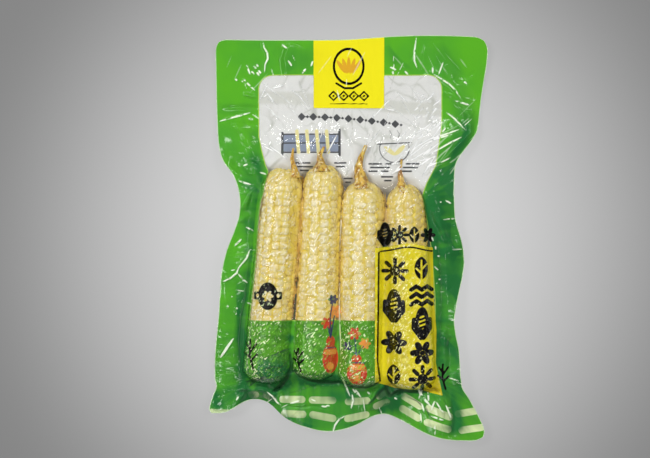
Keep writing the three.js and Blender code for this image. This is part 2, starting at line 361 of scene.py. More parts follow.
def cob_shape(name, ear, placed, length):
    """The cob fills the ear under its kernels, and stands higher in the bare patch."""
    start_clean()
    bpy.ops.mesh.primitive_uv_sphere_add(segments=48, ring_count=40, radius=1, rotation=(math.pi / 2, 0, 0))
    bpy.ops.object.transform_apply(rotation=True)
    cob = bpy.context.object
    cob.name = name
    places = vertex_places(cob.data)
    shares = (places[:, 1] + 1) / 2
    across = np.hypot(places[:, 0], places[:, 2]) + 1e-9
    core = np.array([max(0.0, ear_radius(ear, s) - COB_DEPTH) for s in shares])
    if "bare" in ear:
        low, high, first, last = ear["bare"]
        angles = np.arctan2(places[:, 0], places[:, 2]) - first - 0.5 * (high - shares)
        core += 0.6 * ((low < shares) & (shares < high) & (0 < angles) & (angles < last - first))
    core /= across
    places[:, 0] *= core
    places[:, 2] *= core * EAR_FLATTENING
    places[:, 1] = shares * (length - 3) + 1
    move_vertices(cob.data, places * MM)
    cob.data.transform(placed)
    for attribute_name in ("tint", "dome"):
        set_attribute(cob.data, attribute_name, np.zeros(len(places)))
    bpy.ops.object.shade_smooth()
    return cob


def grow_ear(name, ear, seed):
    """One ear: the kernels and the cob joined to one mesh, pressed flat underneath."""
    placed, length = ear_frame(ear)
    copies = set_kernels(ear, placed, length, seed)
    cob = cob_shape(name, ear, placed, length)
    for copy in copies:
        copy.select_set(True)
    bpy.context.view_layer.objects.active = cob
    bpy.ops.object.join()
    bpy.ops.object.transform_apply(location=True, rotation=True, scale=True)
    cob.data.materials.clear()
    cob.data.materials.append(kernel_skin)
    places = vertex_places(cob.data)
    places[:, 2] = np.maximum(places[:, 2], PRESSED_HEIGHT * MM)
    move_vertices(cob.data, places)

    # How far out each point is between the cob and the kernels' crowns, how low on the flank, how far to the
    # right (which sets the painted shade), and its share of the ear's length.
    local = (np.array(placed.inverted().to_3x3()) @ (places - np.array(placed.translation)).T).T / MM
    full = np.array([ear_radius(ear, min(max(y / length, 0.03), 0.97)) for y in local[:, 1]])
    height = local[:, 2] / EAR_FLATTENING
    set_attribute(cob.data, "crown", 1 - (full - np.hypot(local[:, 0], height)) / 1.6)
    set_attribute(cob.data, "flank", 1 - height / full)
    set_attribute(cob.data, "shade_side", local[:, 0] / full)
    set_attribute(cob.data, "share", local[:, 1] / length)
    return cob


kernel = kernel_shape()
ears = [grow_ear(f"ear_{i + 1}", ear, seed=11 + i) for i, ear in enumerate(EARS)]
bpy.data.objects.remove(kernel)
for ear in ears:
    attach(ear, "root")


# ---------- the husk tips ----------
# What is left of the silk and inner husk at each crown, dried and cooked to a golden brown. Each
# tip is a fluted stub that narrows as it bends over, with a few loose fibres beside it.

HUSK_TIPS = [  # points along each tip, in mm, and its radius at the first of them
    dict(path=[(-34.6, 39, 19), (-34.2, 44, 17), (-35.8, 51, 13), (-35.2, 58, 11)], radius=4.6),
    dict(path=[(-17.2, 43, 20), (-17.4, 49, 16), (-18.4, 54, 13.5), (-15.4, 59, 12)], radius=5.4),
    dict(path=[(8.8, 32, 20), (8.1, 38, 16.5), (6.9, 45, 13.5), (8.2, 52, 11.5), (11.4, 60, 10)], radius=6.2),
    dict(path=[(34.8, 29, 19.5), (33.8, 35, 16), (33.4, 42, 12.5), (34.6, 51, 10)], radius=4.2),
]
LOOSE_FIBRES = 6
TIP_FLUTES, FIBRE_FLUTES = 5, 3
END_SHARE = 0.12  # a spike's radius at its end, as a share of its first
SPIKE_CUTS = 4  # rings between two points of the path

dry_husk, tree, shader = new_material(
    "dry_husk", Roughness=0.45, Subsurface_Weight=0.15, Subsurface_Scale=0.001)
fibres = noise(tree, 500, 4, stretch=(1, 8, 1))
husk = mixed(ramp(fibres, 0.38, 0.6), srgb(168, 112, 24), srgb(244, 208, 104))
husk = mottled(tree, husk, srgb(226, 176, 62), 160, 2, 0.5, 0.7)
feed(shader.inputs["Base Color"], husk)
bumped(shader, fibres, 0.0006)


def husk_spike(path, radius, flutes, chance):
    """A closed fluted spike drawn along the path by extruding a ring and narrowing it each time."""
    start_clean()
    bpy.ops.mesh.primitive_circle_add(vertices=16, radius=radius * MM, fill_type="NGON",
                                      location=Vector(path[0]) * MM, rotation=(-math.pi / 2, 0, 0))
    spike = bpy.context.object
    bpy.ops.object.mode_set(mode="EDIT")
    bpy.ops.mesh.select_all(action="SELECT")
    shrink = (END_SHARE ** (1 / (len(path) - 1))) ** (1 / SPIKE_CUTS)
    for start, end in zip(path, path[1:]):
        step = (Vector(end) - Vector(start)) * MM / SPIKE_CUTS
        for _ in range(SPIKE_CUTS):
            bpy.ops.mesh.extrude_region_move(TRANSFORM_OT_translate={"value": step})
            bpy.ops.transform.resize(value=(shrink * chance.uniform(0.93, 1.07), 1, shrink))
    bpy.ops.object.mode_set(mode="OBJECT")
    bpy.ops.object.transform_apply(location=True, rotation=True, scale=True)
    places = vertex_places(spike.data)
    ys = np.array([point[1] for point in path]) * MM
    middle = np.stack([np.interp(places[:, 1], ys, np.array([point[k] for point in path]) * MM)
                       for k in (0, 2)], 1)
    away = places[:, (0, 2)] - middle
    angle = np.arctan2(away[:, 0], away[:, 1]) + places[:, 1] * 60
    flute = 1 + 0.22 * np.cos(angle * flutes) + 0.12 * np.cos(angle * (flutes + 2) + places[:, 1] * 900)
    places[:, 0] = middle[:, 0] + away[:, 0] * flute
    places[:, 2] = middle[:, 1] + away[:, 1] * flute
    move_vertices(spike.data, places)
    bpy.ops.object.shade_smooth()
    return spike


def husk_tip(name, path, radius, seed):
    chance = random.Random(seed)
    spikes = [husk_spike(path, radius, TIP_FLUTES, chance)]
    for _ in range(LOOSE_FIBRES):
        spread = chance.uniform(-1.3, 1.3)
        fibre = [(x + spread * (1.3 - 0.3 * i) + chance.uniform(-0.4, 0.4), y + chance.uniform(-1, 0),
                  z + chance.uniform(0.3, 0.9)) for i, (x, y, z) in enumerate(path)]
        spikes.append(husk_spike(fibre, radius * chance.uniform(0.3, 0.5), FIBRE_FLUTES, chance))
    start_clean()
    for spike in spikes:
        spike.select_set(True)
    bpy.context.view_layer.objects.active = spikes[0]
    bpy.ops.object.join()
    tip = bpy.context.object
    tip.name = name
    bpy.ops.object.mode_set(mode="EDIT")
    bpy.ops.mesh.select_all(action="SELECT")
    bpy.ops.mesh.normals_make_consistent(inside=False)
    bpy.ops.object.mode_set(mode="OBJECT")
    tip.data.materials.append(dry_husk)
    return tip


husk_tips = [husk_tip(f"husk_tip_{i + 1}", tip["path"], tip["radius"], seed=31 + i)
             for i, tip in enumerate(HUSK_TIPS)]
for tip in husk_tips:
    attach(tip, "root")


# ---------- the set juice ----------
# Golden cooking juice that has run together and set in the valleys between the ears, as one long
# lens-shaped bead in each valley.

JUICE_BEADS = [  # points along each bead, in mm, and its half width at each
    [(-44.6, -92, 14, 1.5), (-39.8, -60, 16, 2.6), (-34.6, -25, 16.4, 2.4), (-31.4, 0, 16.6, 2.6),
      (-29.0, 20, 16.4, 3.2), (-28.6, 34, 14.6, 3.4), (-29.5, 42, 12, 1.6)],
    [(-7.6, -90, 14, 1.5), (-6.6, -50, 16, 2.2), (-5.4, -10, 16.4, 2.2), (-3.8, 20, 16, 2.2),
      (-2.6, 33, 13, 1.6)],
    [(23.8, -93, 14, 1.5), (24.2, -40, 16.2, 2.4), (24.6, 0, 16.4, 2.4), (23.8, 20, 15.4, 2.2),
      (23.4, 30, 12.5, 1.5)],
]
BEAD_FLATNESS = 0.55  # half height as a share of half width

set_juice, tree, shader = new_material(
    "set_juice", Roughness=0.3, Coat_Weight=0.5, Coat_Roughness=0.15)
amber = mottled(tree, srgb(240, 208, 112), srgb(212, 166, 76), 70, 3, 0.4, 0.62)
amber = mottled(tree, amber, srgb(120, 60, 24), 300, 2, 0.6, 0.68)
feed(shader.inputs["Base Color"], amber)
bumped(shader, noise(tree, 420, 1), 0.0012)


def juice_bead(name, path):
    start_clean()
    bpy.ops.mesh.primitive_uv_sphere_add(segments=16, ring_count=120, radius=1,
                                         rotation=(math.pi / 2, 0, 0))
    bpy.ops.object.transform_apply(rotation=True)
    bead = bpy.context.object
    bead.name = name
    places = vertex_places(bead.data)
    path = np.array(path)
    middle_y, reach = (path[0, 1] + path[-1, 1]) / 2, (path[-1, 1] - path[0, 1]) / 2
    y = middle_y + reach * np.arcsin(np.clip(places[:, 1], -1, 1)) / (math.pi / 2)
    round_off = np.maximum(1e-6, np.hypot(places[:, 0], places[:, 2]))
    x_middle, z_middle, half = (np.interp(y, path[:, 1], path[:, k]) for k in (0, 2, 3))
    half = half * (1 + 0.2 * np.sin(y * 0.9) + 0.12 * np.sin(y * 2.3)) * np.minimum(1, round_off * 3)
    places = np.stack([x_middle + 0.4 * np.sin(y * 0.5) + half * places[:, 0] / round_off, y,
                       z_middle + BEAD_FLATNESS * half * places[:, 2] / round_off], 1)
    move_vertices(bead.data, places * MM)
    bead.data.materials.append(set_juice)
    bpy.ops.object.shade_smooth()
    return bead


juice_beads = [juice_bead(f"juice_bead_{i + 1}", path) for i, path in enumerate(JUICE_BEADS)]
for bead in juice_beads:
    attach(bead, "root")


# ---------- the pouch's two films, as laid sheets ----------
# Front and back are cut from one flat film, welded together round the edge and sucked down over
# the ears. Both sheets start as a fine grid that fills the pouch's outline.

FILM_COLUMNS, FILM_ROWS = 250, 364
SEAL_DEPTH = 0.9  # the solid's thickness in mm where it is sealed
HEADER_LIP, RIGHT_LIP = 1.0, 1.8  # how far the cut edges stand outside the weld
CORNER_POINT = (2.4, 1.0)  # how far the lower left corner runs out, to the left and down
WELD_FADE = 1.2  # the weld's hold falls to about a third with each of these mm between the films
EDGE_SMOOTHING, SHEET_SMOOTHING = 10, 8
RIM_INSET = 0.998  # plumb lines fall just inside the rim

solid = bmesh.new()
solid.from_mesh(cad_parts["bag"].data)
bmesh.ops.remove_doubles(solid, verts=solid.verts, dist=1e-6)
solid.normal_update()


def is_wall(face):
    return abs(face.normal.z) < 0.03


def outline_of(solid):
    """The upper rim of the seals in plan, walked once round."""
    after = {}
    for edge in solid.edges:
        faces = edge.link_faces
        if len(faces) == 2 and is_wall(faces[0]) != is_wall(faces[1]):
            film = faces[1] if is_wall(faces[0]) else faces[0]
            if film.normal.z > 0:
                loop = next(loop for loop in film.loops if loop.edge == edge)
                after[loop.vert] = loop.link_loop_next.vert
    vertex = next(iter(after))
    walk = []
    for _ in after:
        walk.append(vertex.co.xy[:])
        vertex = after[vertex]
    return np.array(walk)


def edge_line(points, count):
    """The points along one edge respaced evenly, with the facets between them smoothed away."""
    walked = np.concatenate([[0], np.cumsum(np.hypot(*np.diff(points, axis=0).T))])
    even = np.linspace(0, walked[-1], count + 1)
    line = np.stack([np.interp(even, walked, points[:, k]) for k in (0, 1)], 1)
    for _ in range(EDGE_SMOOTHING):
        line[1:-1] = (line[:-2] + 2 * line[1:-1] + line[2:]) / 4
    return line


outline = outline_of(solid)
corners = [np.argmin(((outline - corner) ** 2).sum(1)) for corner in (
    (cad_low.x, cad_low.y), (cad_high.x, cad_low.y), (cad_high.x, cad_high.y), (cad_low.x, cad_high.y))]
outline = np.roll(outline, -corners[0], axis=0)
corners = [(corner - corners[0]) % len(outline) for corner in corners] + [len(outline)]
closed = np.vstack([outline, outline[:1]])
foot, right, header, left = (closed[a:b + 1] for a, b in zip(corners, corners[1:]))
foot, header = edge_line(foot, FILM_COLUMNS), edge_line(header[::-1], FILM_COLUMNS)
left, right = edge_line(left[::-1], FILM_ROWS), edge_line(right, FILM_ROWS)

# Every point inside is blended from the four edges.
u = np.linspace(0, 1, FILM_COLUMNS + 1)[None, :, None]
v = np.linspace(0, 1, FILM_ROWS + 1)[:, None, None]
plan = (1 - v) * foot[None] + v * header[None] + (1 - u) * left[:, None] + u * right[:, None]
plan -= (1 - v) * ((1 - u) * foot[0] + u * foot[-1]) + v * ((1 - u) * header[0] + u * header[-1])
X, Y = plan[..., 0] / MM, plan[..., 1] / MM


def heights(tree, direction):
    """The height in mm at which a plumb line through each grid point meets the tree, or none."""
    found = np.full(X.shape, np.nan)
    for index in np.ndindex(X.shape):
        start = Vector((plan[index][0] * RIM_INSET, plan[index][1] * RIM_INSET, -0.1 * direction))
        hit = tree.ray_cast(start, Vector((0, 0, direction)))[0]
        if hit is not None:
            found[index] = hit.z / MM
    return found


def smoothed(values, passes):
    """Every value moved towards its neighbours' mean, over the whole grid with its rim."""
    for _ in range(passes):
        padded = np.pad(values, 1, mode="edge")
        values = (padded[:-2, 1:-1] + padded[2:, 1:-1] + padded[1:-1, :-2] + padded[1:-1, 2:]
                  + 4 * values) / 8
    return values


def filled(values):
    """Takes a missing height from the nearest point in its row."""
    for row in values:
        known = ~np.isnan(row)
        row[~known] = np.interp(np.flatnonzero(~known), np.flatnonzero(known), row[known])
    return values


pouch_tree = BVHTree.FromBMesh(solid)
top = smoothed(filled(heights(pouch_tree, -1)), SHEET_SMOOTHING)
under = smoothed(filled(heights(pouch_tree, 1)), SHEET_SMOOTHING)
gap = np.maximum(top - under, 0.0)
sealed = np.exp(-np.maximum(gap - SEAL_DEPTH, 0) / WELD_FADE)  # 1 where welded, 0 over the ears

# The cut edges of the header and of the right side stand a little outside the weld, and the lower
# left corner runs out to a point.
u, v = u[..., 0], v[..., 0]
at_corner = (1 - u) ** 30 * (1 - v) ** 40
plan[..., 0] += MM * (RIGHT_LIP * u ** 4 - CORNER_POINT[0] * at_corner)
plan[..., 1] += MM * (HEADER_LIP * v ** 6 - CORNER_POINT[1] * at_corner)
X, Y = plan[..., 0] / MM, plan[..., 1] / MM


# ---------- wrinkles ----------
# Vacuum pulls the slack film into creases that run from the ears into the seals, with a fine
# crumple everywhere. In the seals both films carry the same creases.

def near_line(points):
    """Distance in mm from each grid point to a line of points, the share of the way along it, and
    whether the point lies to the left of the way the line runs."""
    nearest = np.full(X.shape, 1e9)
    share = np.zeros(X.shape)
    left_side = np.zeros(X.shape, bool)
    for i, ((ax, ay), (bx, by)) in enumerate(zip(points, points[1:])):
        run = (bx - ax) ** 2 + (by - ay) ** 2
        t = np.clip(((X - ax) * (bx - ax) + (Y - ay) * (by - ay)) / run, 0, 1)
        distance = np.hypot(X - ax - t * (bx - ax), Y - ay - t * (by - ay))
        closer = distance < nearest
        nearest = np.where(closer, distance, nearest)
        share = np.where(closer, (i + t) / (len(points) - 1), share)
        left_side = np.where(closer, (bx - ax) * (Y - ay) > (by - ay) * (X - ax), left_side)
    return nearest, share, left_side


def crease(points, left_width, right_width, rise):
    """A ridge with a flat face to each side of its line, fading at both ends. A negative rise is a
    valley."""
    distance, share, left_side = near_line(points)
    fade = np.clip(5 * share * (1 - share), 0, 1) ** 0.5
    return rise * fade * np.maximum(0, 1 - distance / np.where(left_side, left_width, right_width))


def glint_line(points, half_width):
    """Mm inside a painted glint line along a crease, which narrows to nothing at both ends."""
    distance, share, _ = near_line(points)
    return half_width * np.sqrt(np.clip(4 * share * (1 - share), 0, 1)) - distance


def value_noise(cell, seed, stretch=1.0, turn=0.0, fields=None):
    """Smooth noise from -1 to 1 whose lumps are about cell mm across, drawn out along one way. The
    two fields it runs over are X and Y unless others are given."""
    size = 90
    lattice = np.random.default_rng(seed).uniform(-1, 1, (size, size))
    turned = X * math.cos(turn) + Y * math.sin(turn), Y * math.cos(turn) - X * math.sin(turn)
    across, along = fields or turned
    x, y = across / cell + 400, along / (cell * stretch) + 400
    column, row = np.floor(x).astype(int), np.floor(y).astype(int)
    fx, fy = x - column, y - row
    fx, fy = fx * fx * (3 - 2 * fx), fy * fy * (3 - 2 * fy)

    def corner(dx, dy):
        return lattice[(row + dy) % size, (column + dx) % size]

    low = corner(0, 0) * (1 - fx) + corner(1, 0) * fx
    high = corner(0, 1) * (1 - fx) + corner(1, 1) * fx
    return low * (1 - fy) + high * fy


def ends_of(x, y, turn, reach):
    """Both ends of a straight line about its middle."""
    return [(x + side * reach * math.cos(turn), y + side * reach * math.sin(turn)) for side in (-1, 1)]


# The long creases of the seals. Each has its points, the widths of its left and right faces and its
# rise.
LONG_CREASES = [  # in mm
    ([(44.5, 130.6), (43.2, 121.6), (43.2, 115.1), (45.1, 110)], 1.2, 1.2, 0.5),
    ([(50.3, 125.5), (49, 120.3), (48.4, 115.1), (47.7, 108.7)], 5, 1.2, 0.9),
    ([(54.8, 106.7), (60, 103.5), (65.8, 99.7), (69.7, 95.8), (73.5, 90)], 1.5, 1.5, 0.9),
    ([(60, 107.4), (65.1, 103.5), (70.3, 97.7), (74.2, 90.6), (76.1, 85.5)], 8, 1.5, 0.8),
    ([(60, 95.1), (67.7, 92.6), (74.2, 84.2), (78.7, 79)], 1.5, 3, 0.8),
    ([(63.9, 81.6), (69, 77.7), (76.1, 70)], 1.5, 1.5, 0.7),
    ([(59.3, 130.6), (63.9, 118.4), (73.5, 105.5), (76.1, 102.2)], 8, 10, -0.8),
    ([(-55, 127.4), (-54.2, 123.5), (-52.2, 120.3), (-51.9, 116.4), (-53.5, 113.2),
      (-54.2, 107.4)], 1.6, 1.6, 1.1),
    ([(-37.4, 126.7), (-41.3, 116.4), (-40, 105.5)], 17, 2.5, 1.5),
    ([(-67.7, 93.8), (-63.9, 92.6), (-60, 91.3)], 2, 1.6, 1.1),
    ([(-83.2, 75.8), (-77.4, 77.7), (-69.7, 79.7), (-63.2, 81.6)], 0.9, 0.9, 0.6),
    ([(-82.6, 84.8), (-69.7, 85.5), (-57.4, 84.8)], 1.5, 2.5, -0.6),
    ([(-76.1, 75.1), (-58.1, 73.9)], 2, 3, -0.6), ([(47.1, 59.7), (56.8, 64.2), (67.7, 67.4)], 1, 1, 0.7),
    ([(51, 63.5), (61.3, 66.8), (72.2, 70.6)], 1, 1, 0.6),
    ([(58.1, 57.1), (64.5, 61), (73.5, 65.5)], 1, 1, 0.7),
    ([(23.2, 84.2), (30.3, 82.9), (34.8, 80.3)], 0.9, 0.9, 0.5),
    ([(-51.6, 60.3), (-45.1, 55.8), (-39.3, 50.6)], 0.9, 0.9, 0.5),
    ([(-74.2, 75.1), (-68.4, 68.7), (-61.9, 57.1), (-58.1, 48.7)], 7, 3, 1.3),
    ([(-63.9, 50), (-59.3, 48.1), (-54.2, 45.5)], 1.5, 2.5, -1.2),
    ([(-65.8, 42.9), (-59.3, 41), (-52.9, 39)], 2, 1.5, -1.3),
    ([(-70.3, 37.1), (-66.4, 35.8), (-61.9, 34.5)], 1, 1, 0.9),
    ([(-55.5, 37.7), (-60.6, 31.3), (-63.9, 26.1), (-68.4, 19)], 3, 1.2, 1.1),
    ([(-59.3, 33.9), (-61.9, 24.8), (-63.9, 17.1)], 3, 2, -1),
    ([(-69.7, 10.6), (-65.8, 13.9), (-63.2, 15.8)], 2.5, 2.5, 0.8),
    ([(-63.2, -7.4), (-65.1, -12.6), (-71, -19.7)], 1.5, 1.5, 0.8),
    ([(-81.3, -28.1), (-75.5, -25.5), (-71.6, -22.3), (-70.3, -19)], 1, 1, 0.8),
    ([(-71, -22.3), (-67.7, -26.1), (-64.5, -28.7)], 1, 1, 0.6),
    ([(-81.9, -76.4), (-78.7, -71.9), (-74.2, -65.5)], 1.6, 1.6, 1.1),
    ([(-84.5, -96.4), (-76.1, -98.4), (-66.4, -96.4)], 3, 11, 1.8),
    ([(-74.8, -110), (-69.7, -102.9), (-63.2, -94.5), (-58.1, -89.3)], 2, 3, 1.4),
    ([(-25.2, -94.5), (-27.7, -100.9), (-29, -110.6)], 4, 4, 0.8),
    ([(14.8, -110.6), (15.5, -102.9), (18.7, -96.4), (23.2, -90.6)], 2.5, 8, 2.8),
    ([(-4.5, -86.1), (-1.9, -93.2), (1.3, -101.6)], 0.9, 0.9, 0.9),
    ([(2.6, -99.7), (3.2, -104.2), (1.9, -109.3)], 1, 1, 0.8),
    ([(-9.7, -124.2), (-8.4, -119.6), (-5.8, -115.8), (-1.9, -113.8)], 1.2, 1.2, 1.1),
    ([(-52.2, -98.4), (-48.4, -101.6), (-45.8, -105.5), (-43.2, -107.4)], 1, 1, 0.8),
    ([(-41.9, -108), (-31, -108.7), (-23.2, -107.4), (-11.6, -109.3)], 1, 1, -0.7),
    ([(56.1, -104.2), (59.3, -109.3), (61.3, -111.9)], 1, 1, 0.8),
    ([(59.3, -88), (63.9, -96.4), (67.1, -105.5), (69, -115.8), (67.1, -127.4)], 4, 3, -1.5),
    ([(76.1, 86.1), (78, 77.7), (79.3, 69.3), (69, 58.4), (59.3, 48.7), (55.5, 42.2)], 8, 2.5, 2),
    ([(82.6, 76.4), (81.3, 66.8), (73.5, 57.1), (69, 49.3)], 3, 4, -1),
    ([(47.1, 28.7), (51, 21.6), (57.4, 10.6), (63.2, -1), (72.9, -9.4)], 3, 2, 1),
    ([(69, 10.6), (72.2, 2.3), (73.5, -5.5)], 1, 5, 1.5), ([(60, -61), (65.8, -64.2)], 2, 8, 1.2),
    ([(64.5, -55.8), (65.1, -71.9), (65.8, -91.3)], 5, 3, -1.2),
    ([(66.4, -86.1), (69, -94.5)], 4, 1.5, 1),
]
# The short straight ones. Each has both its ends, the width of either face and its rise.
SHORT_CREASES = [  # in mm
    (54.8, 111.3, 55.1, 106.7, 1, 0.6), (69, 89.3, 79.3, 86.1, 0.8, 0.4),
    (74.8, 101.6, 77.4, 100.3, 1, 0.5), (27.1, 111.3, 31.6, 109.3, 0.9, 0.5),
    (29, 108.7, 29.7, 106.1, 0.9, 0.5), (36.8, 108.7, 39.3, 106.1, 0.9, 0.5),
    (-42.6, 125.5, -39.3, 122.9, 1, 0.7), (-38.7, 115.1, -36.1, 111.3, 1, 0.5),
    (-29.7, 106.7, -27.1, 110, 1, 0.6), (-23.9, 111.3, -22.6, 115.1, 0.9, 0.5),
    (-65.8, 112.6, -63.2, 106.1, 1, 0.6), (-61.3, 111.9, -59.3, 110, 1.3, 0.8),
    (-59.3, 113.2, -58.1, 111.3, 1, 0.6), (-62.6, 108.7, -60.6, 106.1, 0.9, 0.6),
    (-59.3, 108, -57.4, 105.5, 0.9, 0.6), (-58.1, 109.3, -56.1, 106.7, 0.9, 0.6),
    (-73.2, 103.5, -71.3, 102.2, 1, 0.6), (-69, 101.6, -66.4, 102.9, 1, 0.6),
    (-67.7, 102.9, -60, 95.8, 0.8, 0.3), (-64.5, 77.7, -61.3, 77.1, 0.9, 0.5),
    (52.9, 70.6, 57.4, 74.5, 0.9, 0.4), (41.3, 64.8, 46.4, 70, 0.9, 0.4),
    (48.4, 78.4, 51.6, 79, 1.2, 0.5), (49.7, 45.5, 57.4, 48.7, 0.9, 0.4),
    (-55.5, 60.3, -47.1, 55.8, 0.8, 0.3), (-49, 97.1, -40.6, 99.7, 1, 0.3),
    (-55.5, 91.3, -51.6, 93.8, 1, 0.5), (-56.8, 42.6, -52.2, 41, 1, 0.9),
    (-67.7, 46.8, -64.5, 48.1, 1, 0.7), (-60, 51.9, -54.8, 47.4, 1.5, -1),
    (-65.8, 7.4, -60.6, 4.8, 1, 0.8), (-72.9, -4.8, -68.4, -0.3, 1.3, 0.9),
    (-78, -43.2, -76.8, -44.2, 1, 0.5), (-72.2, -44.5, -71, -45.5, 1, 0.5),
    (-72.2, -104.2, -70.3, -101.6, 1, 0.8), (2.6, -95.8, 5.8, -100.3, 0.9, 0.7),
    (4.5, -96.4, 8.4, -102.2, 0.9, 0.5), (12.3, -98.4, 14.2, -100.3, 0.9, 0.6),
    (-37.4, -106.1, -31, -104.2, 1, 0.6), (-17.4, -107.4, -13.5, -108, 1, 0.7),
    (47.1, -105.5, 49, -111.9, 1, 0.8), (51, -98.4, 51.6, -104.2, 0.9, 0.6),
    (55.5, -103.5, 52.9, -110.6, 1, 1), (52.9, -113.8, 61.3, -116.4, 1, 0.8),
    (55.5, -119.6, 55.5, -126.1, 1.1, 0.9), (62.6, -106.7, 66.4, -115.8, 0.9, 0.6),
    (29.7, -102.2, 31.6, -103.5, 1, 0.6), (63.2, 24.2, 66.4, 22.3, 1, 0.8),
]
seal_creases = LONG_CREASES + [([(x0, y0), (x1, y1)], width, width, rise)
                               for x0, y0, x1, y1, width, rise in SHORT_CREASES]

# Where the slack film tucks in beside and below the ears, given in the same way.
DEEP_FOLDS = [  # in mm
    ([(-61.3, -1), (-63.9, -20.3), (-65.8, -36.4), (-69, -51.3), (-70.3, -65.5), (-69.7, -77.1),
      (-67.1, -88), (-63.2, -97.7)], 2, 3.5, -1.0),
    ([(-63.2, -95.1), (-58.7, -89.3), (-52.9, -88)], 1.5, 2, -2.5),
    ([(-52.9, -97.1), (-48.4, -99), (-43.9, -95.8), (-39.3, -89.3), (-36.1, -80.9),
      (-37.4, -71.9)], 1.8, 1.8, -3),
    ([(-65.1, -97.7), (-55.5, -97.1), (-46.4, -99)], 2, 6, 3),
    ([(-36.1, -80.9), (-32.2, -85.5), (-25.8, -90), (-18.1, -91.9), (-10.3, -92.6), (-1.9, -91.3),
      (2.6, -93.8), (11.6, -95.1), (20, -90.6)], 2, 1.5, -2.5),
    ([(23.2, -92.6), (27.1, -101.6), (32.2, -99), (36.1, -96.4)], 2, 2, -2),
    ([(31, -100.3), (36.1, -97.1), (46.4, -98.4), (54.8, -96.4), (59.3, -99)], 1.8, 2, -2.5),
    ([(52.9, 15.2), (57.4, -1), (59.3, -20.3), (60, -39.7), (58.7, -68.7), (57.4, -84.8)], 4, 5, -0.9),
]

wrinkles = 1.15 * sum(crease(*line) for line in seal_creases)
folds = sum(crease(*line) for line in DEEP_FOLDS)

# Painted highlights: thin white lines along the sharpest creases, and short glint marks.
GLINT_WIDTH, SHARPEST = 0.55, 1.7
GLINT_MARKS = [  # points along each painted glint mark and its half width, in mm
    ([(53.6, 1.2), (54.6, -1.8)], 0.45), ([(56.1, -4.5), (56.2, -7.2)], 0.45),
    ([(57.2, -11.3), (59.4, -11.4)], 0.45), ([(54.8, -17.5), (58.2, -20.6)], 0.45),
    ([(57.9, -26.3), (59.6, -26.2)], 0.45), ([(56.6, -29.2), (57.2, -28.2)], 0.45),
    ([(62.2, 24.6), (65.8, 22.6)], 0.45), ([(58.8, 23.4), (59.8, 23.2)], 0.45),
    ([(-72.5, -49), (-71.8, -48)], 0.45), ([(-75, -37), (-74.5, -38)], 0.45),
    ([(-24, -103), (-20.5, -104.5)], 0.45), ([(-14, -107), (-11.5, -107.4)], 0.45),
    ([(-82.6, -77.2), (-79.2, -72.4), (-75.6, -67)], 0.8),
    ([(-81.6, -75.8), (-78, -70.4), (-73.6, -64.2)], 0.8),
    ([(44.5, -95.5), (47.5, -101.5), (53, -107.5)], 0.8), ([(47.5, -97), (45.2, -103)], 0.45),
    ([(46.5, -112), (47.2, -118.5)], 0.45), ([(-4.2, 18), (-4.6, 10), (-4.9, 2), (-5.6, -10)], 0.4),
    ([(-5.5, -24), (-5.7, -42), (-5.2, -58), (-4.6, -78)], 0.4),
]
glint_lines = [glint_line(points, GLINT_WIDTH) for points, left_width, right_width, rise in seal_creases
            if max(left_width, right_width) <= SHARPEST and rise > 0]
glint_lines += [glint_line(*glint_mark) for glint_mark in GLINT_MARKS]

# Between them lie many short creases, which fan out from the ears. This many are beside the ears,
# past their ends and over the window.
BESIDE, PAST_ENDS, OVER_WINDOW = 90, 60, 180
chance = random.Random(5)
for number in range(BESIDE + PAST_ENDS + OVER_WINDOW):
    over_window = number >= BESIDE + PAST_ENDS
    if number < BESIDE:
        x, y = chance.choice((-1, 1)) * chance.uniform(58, 84), chance.uniform(-118, 118)
    elif over_window:
        x, y = chance.uniform(-56, 58), chance.triangular(40, 104, 50)
    else:
        x, y = chance.uniform(-75, 75), chance.choice((chance.uniform(100, 122), chance.uniform(-121, -98)))
    turn = math.atan2(y - max(-80.0, min(20.0, y)), x * 0.9) + chance.gauss(0, 0.15)
    ends = ends_of(x, y, turn, chance.uniform(1.5, 5))
    wrinkles += crease(ends, chance.uniform(1.0, 3.5), chance.uniform(0.8, 1.4), chance.uniform(-0.3, 0.45))
    # Some of these creases get a painted glint line.
    if chance.random() < (0.1 if over_window else 0.25) and abs(x) < 79:
        glint_lines.append(glint_line(ends, chance.uniform(0.2, 0.45)))

# Painted highlights: long faint white streaks cross the clear window, in a few groups that each run one way.
# Each has its middle, its spread either way and its greatest reach in mm, its way in degrees and its number.
GLINT_STREAK_GROUPS = [
    (50, 52, 8, 6, 10, 32, 16), (54, 64, 10, 8, 12, 38, 12), (52, 86, 9, 8, 3, 40, 26),
    (46, 84, 14, 12, 10, -45, 10), (-40, 88, 12, 10, 10, -50, 12), (0, 72, 26, 14, 10, 62, 8),
    (40, 60, 10, 8, 8, 48, 10), (30, 47, 12, 4, 5, 35, 10), (52, 118, 26, 8, 10, -60, 9),
    (72, 70, 8, 26, 10, 40, 6), (-66, 106, 14, 14, 10, 55, 4), (0, 118, 20, 10, 10, 55, 3),
]
streaks = []
for middle_x, middle_y, across, along, longest, way, number in GLINT_STREAK_GROUPS:
    for _ in range(number):
        turn, reach = math.radians(way + chance.gauss(0, 9)), chance.uniform(0.3, 1) * longest
        x, y = middle_x + chance.uniform(-across, across), middle_y + chance.uniform(-along, along)
        streaks.append(glint_line(ends_of(x, y, turn, reach), chance.uniform(0.25, 0.55)))

